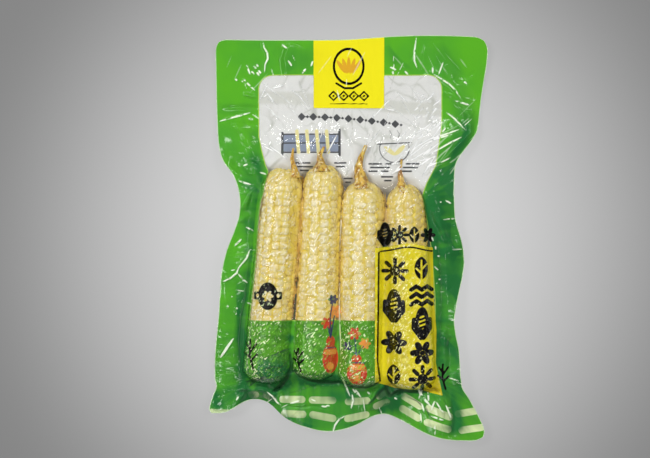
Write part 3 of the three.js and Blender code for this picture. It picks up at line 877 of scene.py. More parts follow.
# Fine pleats run straight out from the block of ears on every side.
block_x, block_y = np.clip(X, -50, 45), np.clip(Y, -85, 25)
out_from_ears = np.hypot(X - block_x, Y - block_y)
way_out = np.arctan2(Y - block_y, X - block_x)
round_ears = 25 * np.abs(way_out) + block_y * np.cos(way_out) - block_x * np.sin(way_out)
pleats = value_noise(1.7, 21, 8.0, fields=(round_ears, out_from_ears))
broad_pleats = value_noise(4.5, 22, 4.0, fields=(round_ears, out_from_ears))
pleat_reach = 0.25 + np.exp(-out_from_ears / 22)
wrinkles += pleat_reach * (0.2 * pleats + 0.3 * broad_pleats)
wrinkles += 0.15 * value_noise(10, 1, 2.0, 0.6)


# ---------- the print ----------
# Inks are laid on the film flat, each one to a crisp edge. Every shape is a field that gives the
# distance in mm inside its edge, and is negative outside.

def inside_box(x0, y0, x1, y1, corner=0.4):
    dx = np.abs(X - (x0 + x1) / 2) - (x1 - x0) / 2 + corner
    dy = np.abs(Y - (y0 + y1) / 2) - (y1 - y0) / 2 + corner
    return corner - np.hypot(np.maximum(dx, 0), np.maximum(dy, 0)) - np.minimum(np.maximum(dx, dy), 0)


def inside_oval(x, y, across, along, turn=0.0):
    dx = ((X - x) * math.cos(turn) + (Y - y) * math.sin(turn)) / across
    dy = ((Y - y) * math.cos(turn) - (X - x) * math.sin(turn)) / along
    return (1 - np.hypot(dx, dy)) * min(across, along)


def inside_dot(x, y, radius):
    return inside_oval(x, y, radius, radius)


def inside_stroke(points, half_width):
    return half_width - near_line(points)[0]


def ring(x, y, across, along, half_width):
    return half_width - np.abs(inside_oval(x, y, across, along))


def lozenge(x, y, size):
    return (size - np.abs(X - x) - np.abs(Y - y)) * 0.7


def all_of(*fields):
    return np.maximum.reduce(fields)


def placed_strokes(strokes, x, y, size, half_width):
    """Strokes drawn in a square from -1 to 1, put at x, y with that half size."""
    return all_of(*(inside_stroke([(x + size * a, y + size * b) for a, b in stroke], half_width)
                    for stroke in strokes))


def round_about(count):
    """The angles of petals or rays set evenly round."""
    return [k * 2 * math.pi / count for k in range(count)]


def sun(x, y, size):
    rays = [[(0.62 * math.cos(a), 0.62 * math.sin(a)), (math.cos(a), math.sin(a))] for a in round_about(8)]
    return all_of(inside_dot(x, y, 0.44 * size), placed_strokes(rays, x, y, size, 0.17 * size))


def cob_sign(x, y, size):
    leaves = [[(0.1 * side, -1), (0.62 * side, -0.3), (0.6 * side, 0.3)] for side in (-1, 1)]
    body = ring(x, y + 0.15 * size, 0.38 * size, 0.8 * size, 0.13 * size)
    grains = [[(-0.2, b), (0.2, b + 0.12)] for b in (-0.3, 0, 0.3, 0.6)]
    return all_of(body, placed_strokes(leaves, x, y, size, 0.17 * size),
                  placed_strokes(grains, x, y, size, 0.08 * size))


def leaf_sign(x, y, size):
    blade = np.minimum(*(inside_oval(x + side * 0.3 * size, y, 0.85 * size, 0.95 * size) for side in (-1, 1)))
    ribs = [[(0, -1), (0, 0.6)], [(0, -0.1), (0.4, 0.3)], [(0, -0.4), (-0.4, 0)]]
    return np.minimum(blade, -placed_strokes(ribs, x, y, size, 0.07 * size))


def flower_sign(x, y, size):
    petals = all_of(*(inside_oval(x + 0.58 * size * math.cos(a), y + 0.58 * size * math.sin(a),
                                  0.4 * size, 0.26 * size, a) for a in round_about(6)))
    return all_of(petals, inside_dot(x, y, 0.18 * size))


def wave_sign(x, y, size):
    rows = [[(-0.9, b), (-0.45, b + 0.3), (0, b), (0.45, b + 0.3), (0.9, b)] for b in (-0.75, -0.15, 0.45)]
    return placed_strokes(rows, x, y, size, 0.17 * size)


def sprig(x, y, size):
    twigs = [[(0.25, -1), (-0.02, -0.1), (0.02, 1)], [(0, -0.2), (-0.4, 0.1)], [(0.02, 0.3), (-0.3, 0.75)],
             [(0.1, -0.35), (0.5, 0.05)], [(0.02, 0.2), (0.45, 0.75)]]
    return placed_strokes(twigs, x, y, size, 0.65)


LEFT_OF_WINDOW = [  # points down the window's sides, in mm
    (-62.8, -51.9), (-60.2, -26.8), (-58.9, -15.2), (-58.2, -3.5), (-57.6, 5.5), (-56.6, 17.1),
    (-55.6, 23.5), (-54.2, 28.1), (-52.8, 35.8), (-50.8, 42.9), (-52.9, 47.4), (-55.5, 57.1), (-57.4, 66),
    (-57.6, 95.8),
]
RIGHT_OF_WINDOW = [
    (55.5, -39.7), (54.2, -19.7), (52.7, -4.8), (50.3, 10), (47.2, 28), (50.2, 35.8), (56.1, 46.8),
    (58.1, 59.7), (60, 69.3), (60.6, 78), (60.6, 95.8),
]
WINDOW_TOP, WINDOW_FOOT, WINDOW_CORNER = 105.6, -51.9, 9.0


def across_at(line):
    return np.interp(Y, [y for _, y in line], [x for x, _ in line])


def window_field(grow=0.0):
    """The clear window, drawn in at its waist with the film. It may be grown for the panel behind it."""
    side = np.minimum(X - across_at(LEFT_OF_WINDOW), across_at(RIGHT_OF_WINDOW) - X) + grow
    end = WINDOW_TOP + grow - Y
    in_side, in_end = np.maximum(WINDOW_CORNER - side, 0), np.maximum(WINDOW_CORNER - end, 0)
    at_corner = (side < WINDOW_CORNER) & (end < WINDOW_CORNER)
    rounded = WINDOW_CORNER - np.hypot(in_side, in_end)
    return np.minimum(np.where(at_corner, rounded, np.minimum(side, end)), Y - WINDOW_FOOT + grow)


# The yellow panel leans with the last ear. Its sides follow the pouch, and its top has a low peak.
panel_right = np.interp(Y, [-100, -80, -59, -39.7, -5], [60.4, 56.2, 56.6, 54.9, 54.2])
panel_top = -6 + 3 * np.exp(-((X - 38) / 11) ** 2)
panel_foot = np.interp(X, [18, 30, 45, 60], [-92, -95.5, -96.5, -100.5])
panel = np.minimum.reduce([X - 16.9, panel_right - X, panel_top - Y, Y - panel_foot])
yellow = all_of(inside_box(-22.2, 84.4, 23.6, 140), panel)

# Black signs on the panel, in a row above it and on the header, and sprigs beside the ears' butts.
border = all_of(inside_stroke([(19.4, -9), (19.0, -50), (18.6, -78), (20.4, -91)], 0.6),
                0.55 - np.abs(panel_top - 2.4 - Y) - np.maximum(np.abs(X - 37.2) - 16.8, 0))
left_signs = [sun(29.6, -20.5, 7.4), cob_sign(29, -43, 9), flower_sign(29, -66, 8.4),
              leaf_sign(28.8, -86.6, 7.6)]
right_signs = [leaf_sign(46.4, -18.8, 8.4), wave_sign(46.6, -36, 7.8), cob_sign(46.8, -54, 8.8),
               flower_sign(46.8, -72.4, 8.2), sun(47, -89, 7.8)]
top_signs = [cob_sign(23.4, 2.4, 6.6), sun(32.4, 2.4, 5.4), leaf_sign(41.8, 2.4, 6),
             flower_sign(51, 2.2, 5.2)]
badge = all_of(inside_oval(-51, -36.4, 6.3, 8.7), inside_box(-60, -38.6, -42, -33.6, 1))
badge_holes = [flower_sign(-51, -36.4, 3.8), *(inside_oval(x, -36.1, 1, 1.4) for x in (-57.6, -44.4))]
badge = np.minimum(badge, -all_of(*badge_holes))
emblem = all_of(ring(0.6, 111.6, 9.6, 11.2, 0.75),
                placed_strokes([[(-0.9, -0.6), (-0.3, -0.95), (0.3, -0.95), (0.9, -0.6)]], 0.6, 106, 9, 0.7))
small_row = [np.maximum(0.5 - np.abs(lozenge(x, 92.4, 2.9)), lozenge(x, 92.4, 1))
             for x in (-9.3 + 6.6 * k for k in range(4))]
sprigs = [sprig(-62.4, -73.6, 9.4), sprig(-32, -77, 7.2), sprig(60.6, -88.6, 8)]
black = all_of(border, *left_signs, *right_signs, *top_signs, badge, emblem, *small_row,
               inside_box(-12, 87.0, 13, 87.7, 0.2), *sprigs)

DASHES = [  # the two rows of dashes along the foot, end to end in mm
    ((-42.0, -103.5), (-29.6, -103.3)), ((-22.9, -103.6), (-9.8, -103.8)),
    ((0.2, -104.6), (12.2, -104.4)), ((20.2, -101.5), (23.5, -98.3), (26.4, -100.4)),
    ((36.0, -101.3), (46.0, -107.6)), ((51.8, -108.8), (65.2, -114.4)), ((70.8, -112.7), (86.0, -110.5)),
    ((-40.9, -112.7), (-29.0, -112.9)), ((-22.6, -113.0), (-9.8, -115.3)),
    ((-0.3, -115.5), (11.6, -113.6)), ((18.3, -108.0), (25.0, -105.6)), ((35.2, -109.6), (45.0, -115.3)),
    ((50.8, -118.0), (64.2, -122.3)), ((73.3, -123.3), (86.2, -121.8)),
    ((-62.0, -100.6), (-59.5, -100.6)), ((-52.5, -100.8), (-48.5, -103.0)),
    ((-88.0, -112.2), (-76.5, -112.4)),
]
pale_green = all_of(*(inside_stroke(dash, 2.3) for dash in DASHES))

# Two plain vases of flowers stand where the window meets the green, and five petals in the emblem.
red = all_of(inside_oval(-11.4, -76, 5, 9.5), inside_oval(-11.2, -65.5, 2.8, 4),
             inside_oval(5.4, -85, 6.4, 7.6), inside_oval(5.2, -76.5, 3.2, 3.4),
             flower_sign(-13.4, -53.5, 4.2), flower_sign(3.8, -60, 4.4))
orange = all_of(flower_sign(-8.4, -46.5, 4.8), flower_sign(10.4, -66.4, 4),
                inside_box(-15.4, -73.6, -7.4, -70.4, 1), inside_oval(-11.4, -81, 2.2, 2.6),
                inside_box(0.4, -83, 10.4, -79.8, 1), inside_dot(5.4, -88.4, 2.2))
stems = [[(-11.2, -63), (-13.2, -55.5)], [(-11.2, -63), (-8.8, -49)],
         [(-11.2, -63), (-11.6, -50), (-10, -41)],
         [(5.2, -74), (4, -62.5)], [(5.2, -74), (9.6, -68)], [(5.2, -74), (0, -68.5)]]
navy = all_of(*(inside_stroke(stem, 0.4) for stem in stems), flower_sign(-9.6, -38.6, 3.4),
              flower_sign(-0.8, -68, 3), inside_box(-15, -69.6, -7.8, -68.8, 0.3),
              inside_box(0.2, -79, 10.6, -78, 0.3))
gold = all_of(*(inside_oval(0.6 + 2.5 * k, 112.4 - 0.5 * abs(k), 1.2, 5.2, -0.3 * k)
                for k in (-2, -1, 0, 1, 2)))


# ---------- the back film ----------
# The same film as the front, white inside where a panel of plain cooking pictures is printed on
# it, seen from behind through the window. It lies flat under each ear and is plain green there.

CRISP = 0.16  # half the width in mm over which an ink's edge fades
FILM_GAP = 0.24  # how far apart in mm the two sheets lie where they are welded
LEAST_BACK_HEIGHT, LEAST_FRONT_HEIGHT, LEAST_GAP = 0.05, 0.3, 0.1


def film_sheet(name, z):
    """A film as a fine grid laid in the outline at the given heights in mm, facing up."""
    start_clean()
    bpy.ops.mesh.primitive_grid_add(x_subdivisions=FILM_COLUMNS, y_subdivisions=FILM_ROWS, size=1)
    sheet = bpy.context.object
    sheet.name = name
    sheet.data.materials.clear()
    move_vertices(sheet.data, np.stack([X, Y, z], -1) * MM)
    bpy.ops.object.shade_smooth()
    return sheet


from_weld = sealed * (gap / 2 - FILM_GAP / 2)
front_z = top - from_weld + wrinkles * (0.25 + 0.75 * sealed) + folds
front_z = np.maximum(front_z, LEAST_FRONT_HEIGHT)
back_z = under + from_weld + (wrinkles + folds) * sealed
back_z = np.clip(back_z, LEAST_BACK_HEIGHT, front_z - LEAST_GAP)
back_film = film_sheet("back_film", back_z)

# A rack with four cobs, a steaming bowl with two, a row of lozenges and short bars.
rack = inside_box(-42, 56, -5, 67)
rack_cobs = all_of(*(inside_stroke([(-31.8 + 6.4 * k, 55.5), (-33 + 6.4 * k, 69.5)], 1.1) for k in range(4)))
rails = all_of(*(np.minimum(inside_box(-42.5, y - 0.5, -4.6, y + 0.5, 0.2), -rack_cobs)
                 for y in (55.5, 61.6, 67.4)),
               inside_box(-43.2, 53.5, -41.6, 69), inside_box(-6.2, 53, -4.6, 71))
bowl = all_of(np.minimum(ring(30, 58, 9.5, 9, 0.35), 61 - Y), inside_stroke([(19, 61), (41, 62)], 0.4),
              *(inside_stroke([(x, 70), (x + 1.5, 67.5), (x + 0.5, 65)], 0.3) for x in (27, 32)))
bowl_cobs = all_of(inside_oval(27, 56.5, 1.5, 4.6, 0.9), inside_oval(33.5, 57, 1.5, 4.6, -0.8))
marks = all_of(*(lozenge(-30 + 3.8 * k, 78.8 - 0.018 * k * k, (2.7, 1.1)[k % 2]) for k in range(18)))
BARS = [  # left end, foot and right end of each short bar, in mm
    (-34, 48, -24), (-33, 45.6, -22), (-31, 43.2, -25), (-9, 48, -1), (-8, 45.6, -2), (13, 47.4, 22),
    (24, 47.4, 28), (14, 45, 27), (13, 42.6, 19), (21, 42.6, 26), (37, 47.4, 46), (35, 45, 45),
    (34, 42.6, 41), (-3, 38, 3), (-2, 35.6, 2), (21, 39, 29), (23, 36.6, 28),
]
bars = all_of(*(inside_box(x0, y0, x1, y0 + 1.1, 0.3) for x0, y0, x1 in BARS))
band = 4 - np.abs(Y - np.interp(X, [-50, -20, 35, 58], [91.5, 90, 85, 83.5]))
# Painted shade: grey streaks on the white panel where the film over it is creased.
crease_shade = [1 - 9 * np.abs(value_noise(cell, seed, 3.0, turn))
           for cell, seed, turn in ((7, 41, 0.7), (9, 42, -0.8), (5, 43, -0.3))]
crease_shade = np.clip(np.maximum.reduce(crease_shade), 0, 1) * (0.5 + 0.5 * value_noise(8, 44))
for name, field in (("panel", np.minimum(window_field(grow=7.0), Y - 12)), ("band", band),
                    ("crease_shade", crease_shade), ("slate", np.minimum(rack, -rack_cobs)),
                    ("straw", all_of(rack_cobs, bowl_cobs)), ("dark", all_of(marks, bowl, bars, rails))):
    set_attribute(back_film.data, name, field)

# Ink layer: an ink laid over a colour where the film is inside the ink's shape, to a crisp edge.
ink_layer, given, result = new_effect(
    "ink_layer", dict(Colour="Color", Ink="Color", Inside="Float"), ("Colour", "Color"))
inside = ramp(given["Inside"], -CRISP, CRISP)
feed(result, mixed(inside, given["Colour"], given["Ink"]))


def inked(tree, colour, name, ink):
    """A colour with an ink laid over it in the shape that the named attribute holds."""
    return placed_effect(tree, ink_layer, Colour=colour, Ink=ink, Inside=attribute(tree, name))


back_print, tree, shader = new_material("back_print", Roughness=0.3)
# The panel's white turns grey in the painted crease shade.
panel_white = mixed(ramp(attribute(tree, "crease_shade"), 0, 1), srgb(227, 227, 223), srgb(184, 186, 175))
colour = inked(tree, srgb(84, 168, 46), "panel", panel_white)
colour = mixed(ramp(attribute(tree, "band"), -1.2, 1.2, 0, 0.75), colour, srgb(206, 207, 197))
colour = inked(tree, colour, "slate", srgb(128, 140, 162))
colour = inked(tree, colour, "straw", srgb(232, 222, 150))
colour = inked(tree, colour, "dark", srgb(40, 40, 44))
feed(shader.inputs["Base Color"], colour)
bumped(shader, noise(tree, 320, 2), 0.0002)
back_film.data.materials.append(back_print)
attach(back_film, "root")


# ---------- the front film ----------
# Clear film printed in green, yellow and black, with a bare window over the ears. The vacuum
# draws it tight on every kernel, and the print over the ears takes their bumps.

FILM_LIFT = 0.1  # the film's height in mm over what it lies on
HOLDING_REACH = 2.2  # how far in mm under the laid film the contents still draw it down to them
NOTHING_BELOW = -1e3
TIGHTENING_PASSES = 5

packed = bmesh.new()
for piece in ears + husk_tips + juice_beads:
    packed.from_mesh(piece.data)
packed_tree = BVHTree.FromBMesh(packed)
packed.free()
contents = np.nan_to_num(heights(packed_tree, -1), nan=NOTHING_BELOW)

# The film is a skin pulled tight: it may not sink into what is under it, and elsewhere it smooths
# out.
resting = contents > front_z - HOLDING_REACH
held_up = np.where(resting, contents + FILM_LIFT, NOTHING_BELOW)
front_z = np.where(resting, held_up, front_z)
for _ in range(TIGHTENING_PASSES):
    front_z = np.where(sealed > 0.5, front_z, np.maximum(smoothed(front_z, 1), held_up))
over_ears = smoothed(resting.astype(float), 4)
relief = front_z - smoothed(front_z, 24)


def patch(x, y, across, along):
    """1 in the middle of a soft-edged patch and 0 outside it."""
    return np.exp(-((X - x) / across) ** 4 - ((Y - y) / along) ** 4)


# Over the first ears' butts the film is crushed.
CRUMPLE_OVER_EARS, CRUMPLE_AT_BUTTS = 0.34, 1.1
crumple = np.abs(value_noise(2.2, 7, 1.4, 0.8)) + np.abs(value_noise(1.6, 8, 1.6, -0.7))
crushed_butt = patch(-48, -87, 11, 9) + 0.6 * patch(-18, -90, 13, 4)
front_z += (over_ears * CRUMPLE_OVER_EARS + crushed_butt * CRUMPLE_AT_BUTTS) * crumple
crushed_butt_share = np.clip(crushed_butt, 0, 1)
front_film = film_sheet("front_film", front_z)

# Painted glints fall most over the kernels' crowns and on their left slopes, which face the key.
rise_to_right = np.gradient(smoothed(front_z, 6), axis=1) / np.gradient(X, axis=1)
glint_mask = over_ears * np.clip(0.97 + 0.12 * rise_to_right + 0.22 * relief, 0, 1.04)
glint_mask *= 1 - 0.06 * crushed_butt_share

# Painted shade: a dark line where the foot's folds close, given as creases are.
SHADED_FOLD_LINES = [  # in mm
    ([(-48.4, -98.4), (-41.5, -91.5), (-36.8, -85.8), (-33.2, -84)], 1.6, 0.5, 1.6),
    ([(-65.8, -92.2), (-60, -89.6), (-54.5, -88.4)], 0.5, 1.6, 1.4),
    ([(-44.5, -101), (-31, -97), (-16.8, -91.9), (-10.5, -89.7)], 0.5, 1.8, 0.6),
    ([(-4.2, -91.9), (4.5, -94.2), (13.4, -94.5), (21, -90.9)], 0.5, 1.8, 1.6),
    ([(12.1, -107.3), (21, -97), (32.3, -88.4)], 0.5, 2.6, 1.4),
    ([(28, -99), (33, -96), (40, -97.6), (50, -96.6)], 0.5, 1.6, 1.4),
    ([(-72, -98), (-62, -97), (-54, -99.5), (-47, -104)], 0.5, 2.6, 1.3),
    ([(36, -101), (44, -104.5), (50, -110), (54, -118)], 2.4, 0.5, 0.8),
    ([(60, -99), (63, -106), (62, -114), (60, -121)], 0.5, 3, 0.5),
    ([(-24, -104), (-31, -109), (-38, -116)], 2.4, 0.5, 0.4),
    ([(-59, -78), (-50, -74.5), (-42, -71), (-36, -69.5)], 0.4, 1.8, 1.0),
    ([(-56, -84), (-49, -80.5), (-43, -81.5), (-38, -77)], 0.4, 1.6, 1.0),
]
fold_shade_field = sum(crease(*line) for line in SHADED_FOLD_LINES) - folds / 1.8

# Painted shade: the green is darkened where the slack film folds and doubles up, in patches, each with its
# centre, half width, half length and strength, and to the left and right of a crease's points, as far as the
# two widths say.
SHADE_PATCHES = [  # in mm
    (66, 10, 20, 46, 0.74), (62, 34, 14, 16, 0.3), (74, 66, 8, 24, 0.6), (64, -60, 12, 44, 0.7),
    (54, 6, 4, 22, 0.6), (76, -106, 12, 16, 0.4), (-77, -78, 14, 34, 0.28), (-69, -62, 4, 34, 0.4),
    (-61, 42, 8, 12, 0.7), (-60, 60, 4, 12, 0.35), (-66, -80, 4, 22, 0.5), (-78, -104, 14, 8, 0.7),
    (-57, -101, 11, 5, 0.6), (-46, -92, 12, 8, 0.6), (27, -103, 7, 13, 0.65), (70, -108, 4, 16, 0.5),
    (60, -123, 16, 4, 0.5), (-5, -101, 12, 4, 0.35), (-20, -92, 22, 5, 0.45), (42, -97, 20, 5, 0.5),
    (-10, -108, 62, 15, 0.58), (-29, 116, 13, 8, 0.3), (64, 102, 9, 20, 0.15), (-72, 84, 12, 4, 0.3),
    (-30, -118, 12, 4, 0.4),
]
SHADE_EDGES = [  # in mm
    ([(-71.5, -28), (-71, -55), (-69, -80), (-64, -92)], 7, 1, 0.5),
    ([(-54.8, 40), (-58.6, 24), (-60.6, 6), (-61.4, -8), (-63.2, -26), (-65, -44)], 0.8, 6, 0.8),
    ([(-62, 30), (-66, 14), (-64, -4), (-70, -22)], 1, 5, 0.3),
    ([(-37.8, -50), (-37.0, -70), (-37.4, -86)], 3.2, 3.2, 0.9),
    ([(-57, -77.5), (-46, -73), (-35.5, -69.5)], 0.6, 9, 0.85),
    ([(-35.5, -69.5), (-30, -75), (-25, -85)], 0.6, 6, 0.35),
    ([(-6.6, -52), (-5.6, -70), (-4.6, -84)], 1.6, 1.6, 0.35),
    ([(73.5, 76.4), (76.1, 69.3), (74.2, 64.8), (69, 57.1), (62.6, 47.4)], 4, 2, 0.5),
    ([(54, 40), (59.5, 44.6), (69, 48.6)], 0.5, 22, 0.85),
    ([(47.1, 26.8), (53.5, 20), (56.8, 12), (58.7, 4)], 8, 9, 0.6),
    ([(65.8, 10.6), (65.8, -1), (69, -6.1), (72.2, -7.4)], 0.4, 12, 0.6),
    ([(57.4, 0.3), (65.8, -6.1), (69.7, -9.4), (74.2, -10)], 3, 10, 0.35),
    ([(58, -20), (64, -30), (70, -40), (70, -52)], 7, 0.6, 0.35),
    ([(58, -60), (63.9, -65.5), (69, -71), (72, -80)], 0.6, 9, 0.45),
    ([(-34, -86), (-31, -89.4), (-24.5, -91.9), (-16.8, -91.9), (-10.3, -88.7), (-5.2, -90.6),
      (1.3, -93.8), (18, -92)], 3, 2.5, 0.9),
    ([(-30, -91), (-25, -98), (-24, -104)], 0.5, 8, 0.35),
    ([(-5, -91), (-2, -98), (0, -104)], 6, 0.5, 0.35),
    ([(-62, -92), (-57, -88.7), (-50, -88), (-42, -84), (-37, -78)], 1.5, 8, 0.8),
    ([(-61, -97), (-52, -99.4), (-44, -97), (-40, -92)], 5, 1, 0.8),
    ([(16.5, -100), (22, -95), (27, -91)], 0.5, 9, 0.6),
    ([(19, -112), (24, -107), (32, -105)], 0.5, 7, 0.6),
    ([(-36, -113), (-30, -118), (-20, -121)], 0.5, 6, 0.4),
    ([(-3, -119), (6, -119), (14, -116)], 0.5, 6, 0.4),
    ([(-66, 40), (-62, 30), (-64, 14), (-66, -4)], 5, 4, 0.3),
    ([(-76, 88), (-68, 78), (-62, 66)], 0.6, 10, 0.3),
    ([(-50.3, 122), (-44, 112), (-41, 106)], 12, 0.5, 0.3),
    ([(26, 126), (32, 118), (44, 108)], 0.6, 9, 0.3), ([(60, 128), (66, 117), (76, 104)], 3, 12, 0.4),
]
painted_shade = sum(strength * patch(*place) for *place, strength in SHADE_PATCHES)
painted_shade = painted_shade * (0.85 + 0.4 * value_noise(7, 12, 2.0, 0.5)) * (1 - 0.6 * over_ears)
# The painted shade also follows the crushed film over the butts and the pleats.
painted_shade += crushed_butt_share * (1.4 * crumple + 0.2)
painted_shade += pleat_reach * (1 - over_ears) * (0.18 * pleats + 0.28 * broad_pleats)
painted_shade += sum(crease(*edge) for edge in SHADE_EDGES) * (0.85 + 0.6 * broad_pleats)

past_left = X - across_at(LEFT_OF_WINDOW)
beside_window = (Y > -51) * (Y < 38)
window_edge = np.clip(1 - np.abs(past_left) / np.where(past_left < 0, 1.3, 1.2), 0, 1) * beside_window
rim = np.minimum.reduce([np.hypot(X - X[edge], Y - Y[edge]) for edge in (
    np.s_[:1, :], np.s_[-1:, :], np.s_[:, :1], np.s_[:, -1:])])
for name, field in (
        ("over_ears", over_ears), ("glint_mask", glint_mask), ("slope", np.clip(rise_to_right, -0.7, 0.7)),
        ("fold_shade", np.clip(fold_shade_field, 0, 1)), ("painted_shade", np.clip(painted_shade, 0, 0.95)), ("rim", rim),
        ("window_edge", window_edge), ("glint_lines", all_of(*glint_lines)), ("streaks", all_of(*streaks)),
        ("clear", np.minimum(window_field(), -all_of(yellow, black, pale_green, red, orange, navy))),
        ("panel", panel), ("yellow", yellow), ("black", black), ("pale_green", pale_green),
        ("red", red), ("orange", orange), ("navy", navy), ("gold", gold)):
    set_attribute(front_film.data, name, field)

front_print, tree, shader = new_material(
    "front_print", Roughness=0.12, IOR=1.5, Coat_Roughness=0.1, Coat_IOR=4.0)
taut = ramp(attribute(tree, "over_ears"), 0.1, 0.9)
clear = ramp(attribute(tree, "clear"), -CRISP, CRISP)
slope = ramp(attribute(tree, "slope"), -0.7, 0.5)
fold_shade = ramp(attribute(tree, "fold_shade"), 0, 1)
on_panel = ramp(attribute(tree, "panel"), -0.5, 0.5)

# The green, with pale dashes, painted shade in its slack patches and folds, and a thin bright edge round the
# window.
green = mottled(tree, srgb(90, 175, 38), srgb(78, 162, 46), 28, 3, 0.35, 0.7)
butt_green = mottled(tree, srgb(88, 160, 38), srgb(66, 132, 34), 180, 2, 0.4, 0.65)
# Painted shade: over the ears the green is darker on slopes that rise to the right and face the key, evening
# out its light.
butt_green = mixed(ramp(slope, 0, 1, 0, 0.3), butt_green, srgb(72, 134, 34))
colour = inked(tree, mixed(taut, green, butt_green), "pale_green", srgb(228, 242, 182))
# Painted shade: darker green in the slack patches, along crease edges and in the pleats.
colour = mixed(attribute(tree, "painted_shade"), colour, srgb(32, 108, 54))
# Painted shade: dark lines where the folds close.
colour = mixed(ramp(fold_shade, 0, 1, 0, 0.85), colour, srgb(18, 68, 32))
halo = worked("ABSOLUTE", worked("ADD", attribute(tree, "clear"), 0.3))
halo = times(ramp(halo, 0.1, 0.5, 0.75, 0), ramp(taut, 0, 1, 1, 0.2))
colour = mixed(halo, colour, srgb(196, 222, 96))

# The clear film's own tint, warm over the ears, and a rolled edge beside the first ear.
colour = mixed(clear, colour, mixed(taut, srgb(216, 220, 220), srgb(196, 176, 84)))
rolled = mixed(clear, srgb(112, 172, 58), srgb(214, 198, 116))
colour = mixed(ramp(attribute(tree, "window_edge"), 0, 0.8), colour, rolled)

# The other inks, and the cut edge, where the film's pale core shows.
# Painted shade: on the panel the yellow is darker on slopes that rise to the right and face the key, evening
# out its light.
yellow_ink = mixed(ramp(attribute(tree, "panel"), -1, 0), srgb(240, 229, 30),
                   mixed(slope, srgb(240, 224, 34), srgb(206, 190, 28)))
# Painted shade: the yellow darkens in the same slack patches and folds.
shade = larger(times(attribute(tree, "painted_shade"), 0.35), times(fold_shade, 0.7))
colour = inked(tree, colour, "yellow", mixed(shade, yellow_ink, srgb(120, 100, 16)))
for name, ink in (("gold", srgb(222, 168, 44)), ("red", srgb(204, 62, 34)), ("orange", srgb(232, 146, 62)),
                  ("navy", srgb(44, 48, 96)), ("black", srgb(10, 8, 6))):
    colour = inked(tree, colour, name, ink)
colour = mixed(ramp(attribute(tree, "rim"), 0.2, 0.6), srgb(196, 222, 176), colour)


def off_black(least):
    """1 off the black ink, falling to the least share on it."""
    return ramp(attribute(tree, "black"), -CRISP, CRISP, 1, least)


# Painted highlights: short glints over the kernels, a painted sheen of softer strokes round them, and white
# lines along the creases.
glint_mask = times(attribute(tree, "glint_mask"), ramp(noise(tree, 60, 1), 0.35, 0.6, 0.96, 1.0))
glint_dashes = times(glint_mask, noise(tree, 860, 1, (1, 2.6, 1), -0.7))
# Painted sheen: softer pale strokes round the glints.
strokes = times(ramp(glint_dashes, 0.5, 0.62), ramp(clear, 0, 1, 0.55, 0))
strokes = times(strokes, off_black(0))
colour = mixed(strokes, colour, mixed(on_panel, srgb(122, 198, 56), srgb(250, 240, 110)))
glint_dots = times(glint_mask, noise(tree, 900, 1, (1, 2.2, 1), -0.7))
glint_dots = times(ramp(glint_dots, 0.625, 0.67), ramp(clear, 0, 1, 1, 0))
glint_flecks = times(ramp(glint_dashes, 0.585, 0.635), clear)
glint_flecks = times(larger(glint_flecks, glint_dots), off_black(0.6))
glint_line_mask = times(ramp(attribute(tree, "glint_lines"), -0.25, 0.25), ramp(noise(tree, 300, 1), 0.3, 0.45))
faint_glints = times(ramp(attribute(tree, "streaks"), -0.2, 0.3), ramp(clear, 0, 1, 0.3, 0.9))
painted_glints = larger(larger(glint_flecks, glint_line_mask), faint_glints)
# Colours of the painted highlights, over the ears and off them.
taut_glint_colour = mixed(on_panel, srgb(228, 244, 186), srgb(255, 250, 176))
taut_glint_colour = mixed(clear, taut_glint_colour, srgb(255, 247, 214))
slack_glint_colour = mixed(clear, srgb(242, 252, 228), srgb(252, 252, 250))
colour = mixed(painted_glints, colour, mixed(taut, slack_glint_colour, taut_glint_colour))
feed(shader.inputs["Base Color"], colour)

# Bare film is clear and glossy, and the painted glints hide what is under it.
hiding = larger(ramp(clear, 0, 1, 1.0, 0.12), ramp(painted_glints, 0, 1, 0, 0.95))
hiding = larger(hiding, ramp(attribute(tree, "window_edge"), 0.1, 0.8, 0, 0.9))
feed(shader.inputs["Alpha"], hiding)
bare = times(clear, ramp(painted_glints, 0, 0.3, 1, 0))
gloss = times(ramp(taut, 0, 1, 0, 0.16), off_black(0.2))
feed(shader.inputs["Coat Weight"], larger(bare, gloss))
feed(shader.inputs["Roughness"], ramp(fold_shade, 0.2, 0.8, 0.12, 0.5))
bumped(shader, times(taut, noise(tree, 420, 1)), 0.0012)
front_film.data.materials.append(front_print)
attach(front_film, "root")
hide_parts("bag")


# ---------- table, light and camera ----------
# A plain pale table under soft light from all round, with a stronger key from the upper left and a
# few small bright lamps that glint in the wet film.

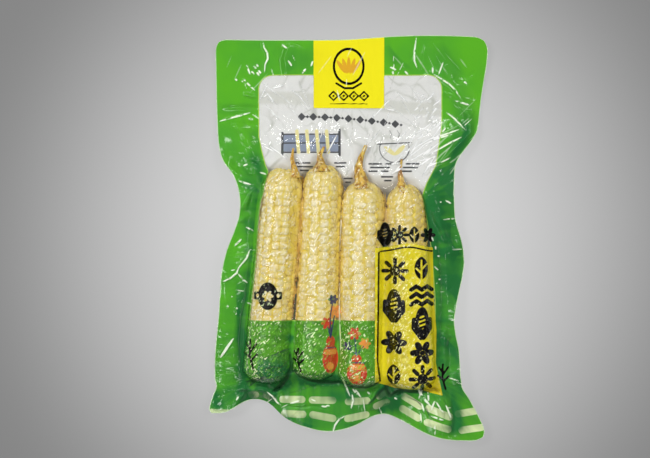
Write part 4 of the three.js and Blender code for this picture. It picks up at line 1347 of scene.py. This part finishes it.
start_clean()
bpy.ops.mesh.primitive_plane_add(size=3, location=(0, 0, -0.0002))
bpy.ops.object.transform_apply(location=True)
table = bpy.context.object
table.name = "table"
# The table glows and is painted brighter in the middle: a painted pool of light that also fills in the
# shadows on it.
table_top, tree, shader = new_material(
    "table_top", Roughness=0.9, Specular_IOR_Level=0.1, Emission_Strength=5.4)
where = tree.nodes.new("ShaderNodeTexCoord")
from_middle = tree.nodes.new("ShaderNodeVectorMath")
from_middle.operation = "LENGTH"
feed(from_middle.inputs[0], where.outputs["Object"])
spread = ramp(from_middle.outputs["Value"], 0.06, 0.27)
pool_of_light_grey = mixed(spread, srgb(90, 90, 90), srgb(54, 54, 54))
feed(shader.inputs["Base Color"], pool_of_light_grey)
feed(shader.inputs["Emission Color"], pool_of_light_grey)
table.data.materials.append(table_top)


def lamp(name, power, size, azimuth, elevation, distance, seen_in_gloss=True):
    """A square lamp aimed at the pouch. Azimuth 0 is over the header and 90 over the left side."""
    data = bpy.data.lights.new(name, "AREA")
    data.energy = power
    data.size = size
    light = bpy.data.objects.new(name, data)
    bpy.context.collection.objects.link(light)
    a, e = math.radians(azimuth), math.radians(elevation)
    way = Vector((-math.sin(a) * math.cos(e), math.cos(a) * math.cos(e), math.sin(e)))
    light.location = way * distance
    light.rotation_euler = way.to_track_quat("Z", "Y").to_euler()
    light.visible_glossy = seen_in_gloss


lamp("key", power=8.6, size=0.35, azimuth=62, elevation=52, distance=1.3, seen_in_gloss=False)
lamp("fill", power=8.2, size=0.8, azimuth=-74, elevation=52, distance=1.4, seen_in_gloss=False)
for i in range(12):
    lamp(f"glint_{i + 1}", power=0.4, size=0.1, distance=1.3,
         azimuth=15 * i - 20, elevation=(38, 60, 48)[i % 3])
for i in range(4):
    lamp(f"glint_{i + 13}", power=0.3, size=0.08, distance=1.3,
         azimuth=45 * i - 170, elevation=(52, 42)[i % 2])

world = bpy.data.worlds.new("studio")
bpy.context.scene.world = world
world.use_nodes = True
world.node_tree.nodes["Background"].inputs["Color"].default_value = (1, 1, 1, 1)
world.node_tree.nodes["Background"].inputs["Strength"].default_value = 0.08

camera_data = bpy.data.cameras.new("camera")
camera_data.sensor_width = 36
camera_data.lens = 85
camera = bpy.data.objects.new("camera", camera_data)
bpy.context.collection.objects.link(camera)
FIELD_WIDTH, FIELD_HEIGHT = 0.419, 0.008  # what the camera sees across, at that height over the table
distance = FIELD_WIDTH * camera_data.lens / camera_data.sensor_width
camera.location = (-0.0148, 0.0061, FIELD_HEIGHT + distance)
bpy.context.scene.camera = camera
bpy.context.scene.view_settings.view_transform = "Standard"
